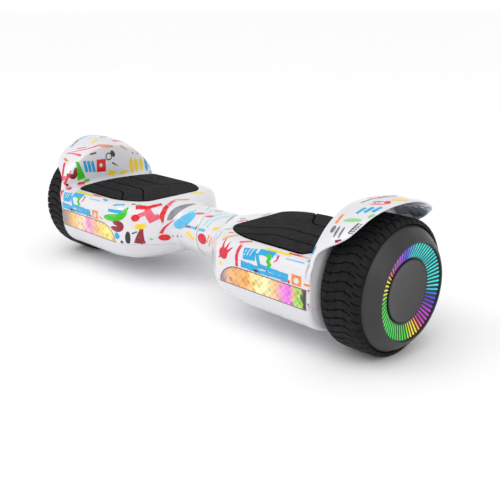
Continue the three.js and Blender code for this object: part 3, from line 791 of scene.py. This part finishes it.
def deck_motif(side, place):
    """What lies along the edge of the foot pad, in front for side -1 and behind it for side 1."""
    strokes = [
        ("yellow", 4.6, "brush", [(33, 81.5), (53, 80.5), (72, 81)]),
        ("light_blue", 1.3, "flat", [(40, 86.5), (58, 86)]),
        ("light_blue", 1.3, "flat", [(70, 87), (97, 86)]),
        ("crimson", 4, "brush", [(66, 77.5), (84, 76.5)]),
        ("orange", 3, "taper", [(84, 76.5), (97, 76)]),
        ("sky", 4.6, "flat", [(98, 80), (109, 82)]),
        ("pink", 4.5, "brush", [(-9, 84), (5, 76)]),
    ]
    return [
        (paint, "top", width, shape, [(place(a), side * b) for a, b in path])
        for paint, width, shape, path in strokes
    ]


def both_faces(place):
    """The block motif on the front and, mirrored by the print's own repeat, on the rear."""
    return [
        *block_motif("front", place),
        *deck_motif(-1, place),
        *block_motif("rear", lambda a: 400 - place(a)),
        *deck_motif(1, lambda a: 400 - place(a)),
    ]


RIGHT_PRINT = [
    *both_faces(lambda a: 148 + a),
    spot("crimson", "front", (119, 102), 15),
    ("crimson", "front", 5, "taper", [(119, 104), (117, 118)]),
    ("crimson", "front", 5, "taper", [(122, 105), (127, 117)]),
    ("crimson", "front", 5, "taper", [(123, 103), (134, 112)]),
    ("crimson", "front", 3.5, "taper", [(115, 99), (110, 94)]),
    spot("yellow", "front", (114, 88), 5),
    ("yellow", "top", 2.2, "brush", [(119, -68), (114, -78), (109, -86)]),
    ("yellow", "front", 1.8, "taper", [(104, 112), (101, 104), (100, 94)]),
    ("pink", "top", 1.6, "brush", [(124, -72), (117, -80), (113, -88)]),
    ("leaf", "top", 5.5, "spindle", [(90, -66), (101, -55)]),
    ("crimson", "top", 2.6, "flat", [(106, -71), (113, -66)]),
    ("cyan", "top", 3, "brush", [(88, -50), (94, -43)]),
    ("crimson", "top", 2.6, "flat", [(78, -30), (86, -26)]),
    ("crimson", "top", 2.6, "flat", [(76, -23), (85, -17)]),
    ("black", "top", 2, "brush", [(69, -16), (76, -12)]),
    ("orange", "top", 2, "brush", [(84, 12), (80, 30)]),
    ("yellow", "top", 7, "brush", [(136, 82), (160, 84), (176, 83)]),
    ("sky", "top", 7, "brush", [(182, 83), (206, 83)]),
    ("lilac", "top", 1.6, "brush", [(100, -86), (97, -76), (90, -68)]),
    ("crimson", "front", 7, "spindle", [(255.5, 90), (255.6, 70)]),
    ("blue", "front", 2.2, "spindle", [(255.7, 69.5), (256.3, 65.5)]),
    ("grey", "fender", 6, "spindle", [(268, 80), (268, 69)]),
    ("grey", "fender", 3, "spindle", [(275, 85), (275, 69)]),
    ("grey", "fender", 3, "spindle", [(281, 85), (282, 69)]),
    ("maroon", "fender", 3.2, "flat", [(279, 89), (286, 86)]),
    ("black", "fender", 1.7, "flat", [(290, 76), (295, 60)]),
    *bars("black", "fender", (291.5, 76), (295, 74), (1.1, -2.9), 1.0, 6),
    ("leaf", "fender", 5.5, "spindle", [(274, 61), (296, 55)]),
    ("leaf", "fender", 4.5, "spindle", [(300, 50), (304, 41)]),
    ("sky", "fender", 4, "flat", [(283, 47), (287, 35)]),
    ("sky", "fender", 4, "flat", [(291, 43), (295, 31)]),
    ("sky", "fender", 4, "flat", [(299, 39), (303, 27)]),
    ("pink", "fender", 2.6, "spindle", [(286, 27), (303, 20)]),
    ("pink", "fender", 2.6, "spindle", [(285, 21), (298, 15)]),
    spot("red", "fender", (302, 15), 8),
    spot("black", "fender", (290, 22), 2),
    spot("black", "fender", (293, 19), 2),
    ("yellow", "fender", 8, "spindle", [(300, 8), (315, -8)]),
    ("black", "fender", 2, "brush", [(272, 24), (286, 2), (293, -14)]),
    ("orange", "fender", 5, "brush", [(266, 66), (266, 50)]),
    ("lilac", "fender", 1.6, "flat", [(284, 10), (293, 0), (302, -14)]),
    ("salmon", "fender", 6, "spindle", [(308, -34), (317, -50)]),
    ("sky", "fender", 8, "brush", [(318, -56), (310, -72), (298, -84)]),
    ("cyan", "fender", 3, "brush", [(276, -12), (286, -30), (288, -48)]),
    ("orange", "fender", 4, "taper", [(270, 8), (276, -8)]),
    ("crimson", "fender", 4, "brush", [(268, -40), (282, -56), (286, -72)]),
    ("slate", "lining", 26, "brush", [(262, -72), (302, -76)]),
    ("navy", "lining", 5, "brush", [(268, -56), (314, -58)]),
    ("sky", "lining", 5, "brush", [(306, -62), (300, -84)]),
    ("black", "lining", 1.8, "flat", [(276, -60), (282, -88)]),
    ("black", "lining", 1.8, "flat", [(288, -62), (292, -84)]),
    ("black", "lining", 4, "brush", [(296, -60), (302, -72)]),
    ("light_blue", "neck", 4, "flat", [(1, 41), (15, 40)]),
    ("pink", "neck", 4, "spindle", [(2, 20), (18, 15)]),
    ("crimson", "neck", 15, "spindle", [(3, 51), (21, 54)]),
    ("orange", "neck", 2, "flat", [(22, 56), (26, 44)]),
    ("orange", "neck", 2, "flat", [(26, 60), (31, 46)]),
    ("cyan", "neck", 2.4, "brush", [(17, 36), (20, 24), (28, 14), (38, 8)]),
    ("cyan", "neck", 2.0, "brush", [(10, 34), (14, 20), (22, 6)]),
    ("yellow", "neck", 4, "spindle", [(28, 36), (40, 30)]),
    ("red", "neck", 6, "brush", [(6, -14), (16, -26), (20, -42)]),
    ("sky", "neck", 9, "brush", [(30, -8), (32, -28)]),
    ("black", "neck", 2, "brush", [(6, 4), (14, -4)]),
]

LEFT_PRINT = [
    *both_faces(lambda a: 252 - a),
    ("sky", "front", 4.2, "flat", [(127, 110), (100, 112)]),
    ("sky", "top", 3.2, "flat", [(121, -86), (104, -79)]),
    ("green", "front", 11, "spindle", [(95, 118), (98, 103), (138, 98)]),
    ("maroon", "front", 9, "spindle", [(121, 86), (102, 85), (100, 95), (116, 94)]),
    spot("sky", "front", (108, 75.5), 10),
    spot("black", "front", (101, 67), 4.5),
    spot("sky", "front", (117, 70), 3),
    ("black", "front", 7, "spindle", [(91, 84), (93, 64)]),
    ("black", "front", 1.8, "flat", [(86, 81), (80, 84)]),
    ("maroon", "front", 13, "grow", [(74.5, 89), (79, 65.5)]),
    ("yellow", "front", 8, "spindle", [(83, 91), (69, 93)]),
    spot("leaf", "front", (66, 73), 4),
    spot("red", "front", (82, 104), 10),
    ("pink", "front", 6, "flat", [(79, 107), (73, 111)]),
    ("red", "top", 8, "brush", [(88, -71), (78, -60)]),
    ("red", "top", 6, "brush", [(77, -62), (70, -38)]),
    ("pink", "front", 12, "grow", [(77, 118), (62, 100)]),
    ("white", "front", 1.2, "flat", [(73, 117), (64, 108)]),
    ("red", "top", 6.5, "brush", [(58, -50), (63, -33)]),
    ("pink", "top", 6, "brush", [(63, -32), (69, -15)]),
    ("orange", "top", 6.5, "spindle", [(72, -14), (60, 6)]),
    ("yellow", "top", 7, "spindle", [(84, 28), (77, 50)]),
    ("maroon", "top", 3.4, "spindle", [(97, -72), (94, -66)]),
    ("leaf", "top", 4.4, "spindle", [(92, -70), (86, -62)]),
    spot("red", "front", (55, 74.5), 10),
    ("red", "front", 3.2, "taper", [(57, 81), (54, 91), (48, 100)]),
    spot("black", "front", (48, 76), 1.8),
    spot("black", "front", (42, 76.5), 3),
    spot("black", "front", (33, 78), 1.8),
    ("light_blue", "neck", 19, "spindle", [(47, 46), (34, 38), (17, 20)]),
    ("cyan", "neck", 5, "brush", [(34, 22), (22, 14)]),
    ("slate", "neck", 3.6, "flat", [(29, 42), (14, 41)]),
    ("light_blue", "neck", 3.6, "flat", [(13, 41), (1, 41)]),
    ("yellow", "neck", 6, "spindle", [(23, 49), (5, 57)]),
    ("maroon", "neck", 2.2, "flat", [(1, 34), (4, 42)]),
    ("pink", "neck", 4, "spindle", [(3, 15), (20, 20)]),
    ("cyan", "neck", 2.4, "brush", [(8, 8), (16, -6), (30, -16)]),
    ("red", "neck", 7, "brush", [(30, -20), (18, -34), (14, -48)]),
    ("yellow", "neck", 5, "spindle", [(36, -4), (30, -14)]),
    ("pink", "fender", 3.2, "taper", [(257, 14), (258, 34), (273, 54), (288, 63)]),
    ("pink", "fender", 2.6, "brush", [(275, 47), (266, 35)]),
    ("pink", "fender", 4.6, "grow", [(284, 62), (272, 58), (257, 55)]),
    ("salmon", "wall", 4.2, "spindle", [(-17, 178), (10, 174)]),
    ("salmon", "wall", 3.2, "taper", [(24, 173), (37, 164)]),
    ("orange", "wall", 3.2, "taper", [(49, 165), (61, 157)]),
    ("yellow", "fender", 4, "spindle", [(268, 22), (276, 4)]),
    ("maroon", "wall", 3.2, "brush", [(-35, 167), (-24, 168)]),
    ("maroon", "wall", 8, "spindle", [(-63, 150), (-66, 134), (-79, 141)]),
    ("green", "wall", 15, "grow", [(-59, 158), (-55, 130)]),
    ("green", "wall", 5, "spindle", [(-52, 126), (-40, 127)]),
    ("sky", "wall", 5, "flat", [(-47, 158), (-44, 140)]),
    ("sky", "wall", 5, "flat", [(-40, 157), (-37, 139)]),
    ("sky", "wall", 5, "flat", [(-33, 156), (-30, 138)]),
    ("red", "wall", 20, "flat", [(-25, 147), (-8, 146)]),
    spot("white", "wall", (-17, 147), 7),
    ("black", "wall", 1.8, "flat", circle((-1, 159), 5.5)),
    ("black", "wall", 3, "taper", [(5, 148), (16, 141)]),
    ("black", "wall", 7.5, "spindle", [(4, 168), (10, 157)]),
    ("yellow", "wall", 9, "brush", [(-4, 133), (9, 130)]),
    ("yellow", "wall", 5, "spindle", [(14, 128), (36, 130)]),
    ("yellow", "wall", 8, "spindle", [(42, 152), (43, 125)]),
    ("yellow", "wall", 8, "spindle", [(51, 149), (53, 125)]),
    ("yellow", "wall", 8, "spindle", [(61, 148), (64, 126)]),
    ("sky", "wall", 6, "spindle", [(72, 148), (74, 124)]),
    ("black", "wall", 3, "brush", [(68, 153), (77, 150)]),
    ("green", "wall", 5, "spindle", [(80, 145), (86, 128)]),
    spot("black", "wall", (47, 158), 2.6),
    spot("black", "wall", (57, 156), 2.6),
    ("orange", "fender", 5, "brush", [(281, 72), (270, 75)]),
    ("crimson", "fender", 4.4, "brush", [(273, 79), (266, 94), (260, 108)]),
    ("crimson", "wall", 3.4, "grow", [(-71, 146), (-85, 126)]),
    spot("black", "wall", (-81, 125), 5),
    ("red", "top", 5, "brush", [(253, -84), (243, -79)]),
    ("red", "wall", 5.5, "spindle", [(-64, 123.5), (-49, 123.5)]),
    ("sky", "fender", 4, "brush", [(300, 30), (306, 6), (304, -20)]),
    ("green", "fender", 4, "spindle", [(282, -4), (290, -26)]),
    ("crimson", "fender", 5, "brush", [(266, -20), (276, -44), (272, -70)]),
    ("black", "fender", 1.8, "flat", [(292, 46), (298, 28)]),
    ("slate", "lining", 20, "brush", [(264, -70), (300, -74)]),
]


def inside(outline, a, b):
    """Whether a point is inside a closed outline."""
    within = False
    for i, (a1, b1) in enumerate(outline):
        a0, b0 = outline[i - 1]
        if (b0 > b) != (b1 > b) and a < a0 + (a1 - a0) * (b - b0) / (b1 - b0):
            within = not within
    return within


def printable(place):
    """Whether a place on the right half is on the printed shell and clear of every opening in it."""
    x, y, z = place
    edge = 0.8
    if z < SPLIT_Z + edge or x < SEAM_X + edge:
        return False
    if z > DECK_FLOOR - 3 and inside(PAD_EDGE, x, y) or z > 98 and inside(CRESCENT_EDGE, x, y):
        return False
    if y < -84 and inside(STRIP_EDGE, x, z):
        return False
    to_socket = math.hypot(x - SOCKET_X, z - CONTROLS_Z)
    to_button = math.hypot(x - BUTTON_X, z - CONTROLS_Z)
    return y < 84 or min(to_socket, to_button + 4) > 17


PAD_EDGE = pad_outline(1.3)
CRESCENT_EDGE = crescent_outline(1.1)
STRIP_EDGE = strip_outline(1.0)


def on_skin(tree, projection, a, b):
    """Where a point of a projection falls on the shell, and the way out of the shell there."""
    if projection in ("fender", "neck", "lining"):
        turn = b / (NECK_R if projection == "neck" else ARCH_TOP_R)
        outward = Vector((0, -math.sin(turn), math.cos(turn)))
        start = Vector((a, 0, AXIS_Z)) + outward * (84 if projection == "lining" else 150)
        ahead = outward if projection == "lining" else -outward
    else:
        start, ahead = {
            "front": ((a, -250, b), (0, 1, 0)),
            "rear": ((a, 250, b), (0, -1, 0)),
            "top": ((a, b, 300), (0, 0, -1)),
            "wall": ((225, a, b), (1, 0, 0)),
        }[projection]
    place, normal, _, _ = tree.ray_cast(Vector(start), Vector(ahead))
    if place is None or not printable(place):
        return None
    return place, normal if normal.dot(Vector(ahead)) < 0 else -normal


def stroke_body(tree, stroke, lift):
    """A thin closed body laid on the shell along the stroke's path: its points and faces."""
    _, projection, width, shape, path = stroke
    line = np.array(rounded(path, 2, closed=False)) if len(path) > 2 else np.array(path, float)
    reach = np.concatenate([[0], np.cumsum(np.linalg.norm(np.diff(line, axis=0), axis=1))])
    count = max(4, int(reach[-1] / STEP) + 1)
    shares = np.linspace(0, 1, count)
    middle = np.stack([np.interp(shares * reach[-1], reach, line[:, k]) for k in range(2)], axis=1)
    ahead = np.gradient(middle, axis=0)
    side = np.stack([-ahead[:, 1], ahead[:, 0]], axis=1) / np.linalg.norm(ahead, axis=1)[:, None]
    widths = np.maximum(SHAPES[shape](shares), 0.02) * width
    across = np.linspace(-0.5, 0.5, max(3, int(width / STEP) + 2))
    spots = [
        [on_skin(tree, projection, *(m + n * w * share)) for share in across]
        for m, n, w in zip(middle, side, widths)
    ]
    columns = len(across)
    tops, points, index = [], [], {}

    def corner(i, j):
        if (i, j) not in index:
            place, out = spots[i][j]
            index[i, j] = len(points)
            points.extend([place + out * lift, place - out * 0.25])
        return index[i, j]

    for i in range(count - 1):
        for j in range(columns - 1):
            ring = [(i, j), (i + 1, j), (i + 1, j + 1), (i, j + 1)]
            found = [spots[a][b] for a, b in ring]
            if None in found:
                continue
            gaps = [(found[k][0] - found[k - 1][0]).length for k in range(4)]
            if max(gaps) < 4 * STEP:
                tops.append([corner(a, b) for a, b in ring])
    edges = [(face[k - 1], face[k]) for face in tops for k in range(4)]
    rim = [(a, b) for a, b in edges if (b, a) not in set(edges)]
    faces = [tuple(face) for face in tops] + [tuple(n + 1 for n in reversed(face)) for face in tops]
    return points, faces + [(b, a, a + 1, b + 1) for a, b in rim]


def printed(name, tree, strokes):
    """All the strokes of one half, each face with the material of its paint."""
    paints = list(PAINTS)
    points, faces, choices = [], [], []
    for order, stroke in enumerate(strokes):
        body, sides = stroke_body(tree, stroke, 0.10 + 0.03 * (order % 7))
        faces += [tuple(n + len(points) for n in face) for face in sides]
        points += [tuple(place) for place in body]
        choices += [paints.index(stroke[0])] * len(sides)
    mesh = mesh_from(name, points, faces)
    mesh.polygons.foreach_set("material_index", choices)
    return mesh


# ---- Foot pad ----
def ribbon(points, width):
    """The outline of a band of one width along a path in a plane."""
    path = [np.array(p, float) for p in points]
    left, right = [], []
    for i, p in enumerate(path):
        ahead = path[min(i + 1, len(path) - 1)] - path[max(i - 1, 0)]
        side = np.array([-ahead[1], ahead[0]]) / np.linalg.norm(ahead)
        left.append(tuple(p + side * width / 2))
        right.append(tuple(p - side * width / 2))
    return left + right[::-1]


PAD_GROOVE_WIDTH = 2.8
PAD_GROOVE_DEPTH = 1.6
PAD_GROOVES = [
    [(254, -14), (196, -11), (151, -10), (98, -50)],
    [(252, -43), (205, -42), (157, -42), (118, -74)],
    [(254, 30), (180, 27), (158, 28), (124, 76)],
]


def foot_pad():
    """A rubber mat with rounded edges, long bent grooves and the two posts under it."""
    low, high = PAD_TOP - 3.3, PAD_TOP
    layers = [(low, 0), (high - 1.1, 0), (high - 0.4, -0.3), (high - 0.05, -1.0), (high, -1.6)]
    count = len(pad_outline(0))
    points = []
    for z, margin in layers:
        points += [(x, y, z) for x, y in pad_outline(margin)]
    faces = grid_faces(len(layers), count, False)
    faces += [tuple(range(count)), tuple(range((len(layers) - 1) * count, len(layers) * count))]
    mat = mesh_from("mat", points, faces)
    for path in PAD_GROOVES:
        band = ribbon(rounded(path, 3, closed=False, keep=0.12), PAD_GROOVE_WIDTH)
        mat = without(mat, prism("groove", band, high - PAD_GROOVE_DEPTH, high + 2, 2))
    posts = [rod("post", 4, span("right_foot_pad", 2)[0], low + 0.5, (x, 0), 2) for x in (130, 205)]
    return joined("foot_pad", mat, *posts)


# ---- Wheel ----
PITCHES = 48
GROOVE = 2.2
TICK_ROWS = (276, 288, 300)


def tyre():
    """Tread of wavy cross grooves, small ticks on them, and notches round the outer shoulder."""
    wall = [(309, 58), (266, 58), (264.4, 61), (263.2, 65), (262.2, 70), (TYRE_X[0], 73), (262.6, 76.6)]
    crown = [(263.9, 79.2), (266, 81), (268.8, 82.1), (271.5, TYRE_R - 0.02)]
    level = []
    for x in TICK_ROWS:
        level += [x - 5, x - 0.9, x - 0.6, x + 0.6, x + 0.9]
    crown += [(x, TYRE_R) for x in level] + [(306, TYRE_R), (309, TYRE_R), (309.3, TYRE_R)]
    crown += [(311.5, TYRE_R - 0.05), (314, 82.1), (315.8, 81.3), (317.2, 79.8)]
    outside = [(TYRE_X[1], 77.6), (317.8, 76.4), (317.2, 76.1), (312, 75.8), (311.2, 64), (310.4, 60)]
    profile = wall + crown + outside
    shares = (-0.45, -0.42, -0.25, -0.075, -0.045, 0.045, 0.075, 0.25, 0.42, 0.45)
    points = []
    for x, r in profile:
        grooved = r > 78.5 and x < 309.2
        notched = r > 79 and x > 309.2
        ticked = any(abs(x - tick) < 0.7 for tick in TICK_ROWS) and grooved
        wave = 0.30 * math.sin((x - 262) / 46 * 2 * math.pi)
        for k in range(PITCHES):
            for share in shares:
                deep = abs(share) < 0.05 and grooved or abs(share) > 0.44 and notched
                deep = deep or ticked and abs(share) < 0.2
                radius = r - (GROOVE if deep else 0)
                angle = (k + share + wave) * 2 * math.pi / PITCHES
                points.append((x, radius * math.sin(angle), AXIS_Z - radius * math.cos(angle)))
    return mesh_from("tyre", points, grid_faces(len(profile), PITCHES * len(shares), True))


def wheel_cover():
    ring_back = RING_X - 2.3
    profile = [(318.5, 4), (318.5, 24), (309.4, 24), (309.4, 29), (318.5, 29), (320, 38), (327.4, 60)]
    profile += [(313, 73), (312.5, 74.6), (312.9, COVER_R), (315.6, COVER_R), (317, 74.7), (322, 71.8)]
    profile += [(327, 67.6), (330.6, 63.9), (332.6, 61.3), (LIP_X, 59.6), (LIP_X, 58.7), (333.1, 58.1)]
    profile += [(332.4, RING_R[1] + FIT), (ring_back, RING_R[1] + FIT)]
    profile += [(ring_back - RING_DEPTH, RING_R[0] - FIT), (321.5, RING_R[0] - FIT), (321.5, 4)]
    return turned("wheel_cover", profile)


def hub_cap():
    edge = RING_R[0] - 0.7
    profile = [(321.8, 0.4), (321.8, edge), (325.2, edge), (326.1, edge - 0.3), (326.6, edge - 0.9)]
    profile += [(326.7, edge - 1.8), (326.5, edge - 3), (325.9, 29), (325.3, 18), (325.0, 8), (324.95, 0.4)]
    return turned("hub_cap", profile)


BARS = 64


def ring_light():
    """A dark cone with a lit, rounded bar in each of its slots. Faces of the bars use the second material."""
    inner_x, outer_x = RING_X - RING_DEPTH, RING_X
    lift = 0.5
    base = [(inner_x - 2, RING_R[0]), (outer_x - 2, RING_R[1])]
    base += [(outer_x - lift, RING_R[1]), (inner_x - lift, RING_R[0])]
    cone = turned("cone", base)
    slope = RING_DEPTH / (RING_R[1] - RING_R[0])
    points, faces = [], []
    for k in range(BARS):
        turn = 2 * math.pi * k / BARS
        outline = []
        for r, share in ((40.2, 0.08), (40.8, 0.14), (55.6, 0.19), (56.6, 0.16), (56.9, 0.09)):
            outline.append((r, share))
        outline = outline + [(r, -share) for r, share in reversed(outline)]
        first = len(points)
        for height in (-1.0, 0.0):
            for r, share in outline:
                angle = turn + share * 2 * math.pi / BARS
                x = inner_x + (r - RING_R[0]) * slope + height
                points.append((x, r * math.sin(angle), AXIS_Z + r * math.cos(angle)))
        count = len(outline)
        faces.append(tuple(range(first + count, first + 2 * count)))
        faces.append(tuple(range(first, first + count)))
        for i in range(count):
            n = (i + 1) % count
            faces.append((first + i, first + n, first + count + n, first + count + i))
    bars = mesh_from("bars", points, faces)
    cone_faces = len(cone.polygons)
    ring = joined("ring", cone, bars)
    for polygon in ring.polygons:
        polygon.material_index = 1 if polygon.index >= cone_faces else 0
    return ring


# ---- Build ----
for name, node in NODES.items():
    look = CAD_LOOKS.get(SLOT_OF[name])
    if look:
        node.data.materials.clear()
        node.data.materials.append(look)

skin, upper, lower, lens, light = shell_pieces()
add_piece("left_made_upper_shell", mirrored(upper), WHITE, "left_upper_shell")
add_piece("right_made_upper_shell", rear_controls(upper), WHITE, "right_upper_shell")
both_sides("lower_shell", lower, LOWER_WHITE)
tree = BVHTree.FromPolygons([v.co * 1000 for v in skin.vertices], [tuple(p.vertices) for p in skin.polygons])
inks = [painted(f"print_{name}", colour) for name, colour in PAINTS.items()]
left_print = mirrored(printed("left_print", tree, LEFT_PRINT))
add_piece("left_print", left_print, inks, body="left_half", crease=60)
right_print = printed("right_print", tree, RIGHT_PRINT)
add_piece("right_print", right_print, inks, body="right_half", crease=60)
STRIP_STOPS = {
    "right": [(0.0, (0.36, 0.25, 0.25)), (0.07, (0.42, 0.27, 0.25)), (0.14, (0.78, 0.36, 0.16)),
              (0.34, (0.95, 0.42, 0.06)), (0.46, (0.95, 0.78, 0.32)), (0.58, (0.95, 0.82, 0.42)),
              (0.66, (0.95, 0.55, 0.20)), (0.74, (0.85, 0.28, 0.60)), (0.82, (0.80, 0.12, 0.78)),
              (0.87, (0.80, 0.42, 0.25)), (0.92, (0.15, 0.68, 0.02)),
              (0.95, (0.70, 0.75, 0.10)), (0.965, (0.12, 0.20, 0.04)), (0.98, (0.01, 0.01, 0.01))],
    "left": [(0.0, (0.90, 0.55, 0.20)), (0.18, (0.95, 0.72, 0.10)), (0.36, (0.95, 0.45, 0.25)),
             (0.48, (0.85, 0.22, 0.60)), (0.62, (0.95, 0.72, 0.40)), (0.78, (0.90, 0.45, 0.10)),
             (0.9, (0.35, 0.22, 0.17)), (1.0, (0.20, 0.15, 0.13))],
}
strip_lights = {side: quilted_light(f"{side}_strip_light", stops) for side, stops in STRIP_STOPS.items()}
both_sides("light_strip_lens", lens, strip_lights)
both_sides("neck_light", light, SMOKE)
both_sides("foot_pad", foot_pad(), PAD, crease=40)
both_sides("tyre", tyre(), TYRE, crease=40)
both_sides("wheel_cover", wheel_cover(), COVER, crease=25)
both_sides("hub_cap", hub_cap(), CAP, crease=25)
RING_STOPS = [
    (0.0, (0.05, 0.60, 0.02)), (0.10, (0.02, 0.62, 0.06)), (0.25, (0.04, 0.62, 0.03)), (0.275, (0.50, 0.75, 0.02)),
    (0.295, (0.85, 0.75, 0.02)), (0.335, (0.85, 0.68, 0.02)), (0.355, (0.80, 0.08, 0.06)), (0.38, (0.60, 0.03, 0.50)),
    (0.43, (0.36, 0.03, 0.68)), (0.465, (0.04, 0.04, 0.75)), (0.50, (0.02, 0.40, 0.68)), (0.52, (0.02, 0.60, 0.58)),
    (0.775, (0.02, 0.66, 0.66)), (0.80, (0.02, 0.05, 0.70)), (0.83, (0.10, 0.02, 0.62)), (0.86, (0.48, 0.03, 0.62)),
    (0.91, (0.60, 0.03, 0.50)), (0.93, (0.80, 0.07, 0.04)), (0.95, (0.82, 0.60, 0.02)), (0.98, (0.80, 0.70, 0.02)),
]
both_sides("ring_lens", ring_light(), [BLACK, ring_glow("ring_of_light", RING_STOPS)], crease=30)

# ---- Stage ----
floor_mesh = block("studio_floor", (-30000, 30000), (-30000, 30000), (-20, 0))
floor = bpy.data.objects.new("studio_floor", floor_mesh)
bpy.context.scene.collection.objects.link(floor)
ground = Look("studio_paper", roughness=0.9)
ground.colour(ground.ramp(ground.noise(2, 3), [(0.3, 0.955), (0.7, 0.965)]))
floor_mesh.materials.append(ground.material)

SKY_FADE = (0.10, 0.45)  # heights between which the sky darkens
SKY_LEVELS = (1.0, 0.74)
world = bpy.data.worlds.new("studio")
bpy.context.scene.world = world
world.use_nodes = True
sky = world.node_tree
heading = sky.nodes.new("ShaderNodeSeparateXYZ")
brightness = sky.nodes.new("ShaderNodeValToRGB")
for stop, place, level in zip(brightness.color_ramp.elements, SKY_FADE, SKY_LEVELS):
    stop.position = place
    stop.color = (level, level, level, 1)
sky.links.new(sky.nodes.new("ShaderNodeTexCoord").outputs["Generated"], heading.inputs[0])
sky.links.new(heading.outputs["Z"], brightness.inputs["Fac"])
sky.links.new(brightness.outputs["Color"], sky.nodes["Background"].inputs["Color"])
sky.nodes["Background"].inputs["Strength"].default_value = 1.0


def softbox(name, place, target, size, power):
    data = bpy.data.lights.new(name, "AREA")
    data.shape = "RECTANGLE"
    data.size, data.size_y = size
    data.energy = power
    lamp = bpy.data.objects.new(name, data)
    lamp.location = place
    lamp.rotation_euler = (Vector(target) - Vector(place)).to_track_quat("-Z", "Y").to_euler()
    bpy.context.scene.collection.objects.link(lamp)


softbox("key_softbox", (-0.9, -1.6, 2.2), (0, 0, 0.1), (1.6, 1.2), 9)
softbox("side_softbox", (2.4, -0.4, 1.2), (0.2, 0, 0.1), (1.2, 1.4), 5)

sun_data = bpy.data.lights.new("sky_fill", "SUN")
sun_data.energy = 1.0
sun_data.angle = math.radians(70)
sun = bpy.data.objects.new("sky_fill", sun_data)
sun.rotation_euler = (math.radians(32), math.radians(12), 0)
bpy.context.scene.collection.objects.link(sun)

camera_data = bpy.data.cameras.new("camera")
camera_data.sensor_width = 36
camera_data.lens = 54.65
camera_data.shift_x = 0.004
camera_data.shift_y = 0.028
camera = bpy.data.objects.new("camera", camera_data)
camera.location = (0.77306, -0.69315, 0.39303)
yaw, pitch, roll = (math.radians(angle) for angle in (45.5, 19.0, -0.2))
ahead = Vector((-math.sin(yaw) * math.cos(pitch), math.cos(yaw) * math.cos(pitch), -math.sin(pitch)))
camera.rotation_euler = (ahead.to_track_quat("-Z", "Y").to_matrix() @ Matrix.Rotation(roll, 3, "Z")).to_euler()
bpy.context.scene.collection.objects.link(camera)
bpy.context.scene.camera = camera
bpy.context.scene.view_settings.view_transform = "Standard"
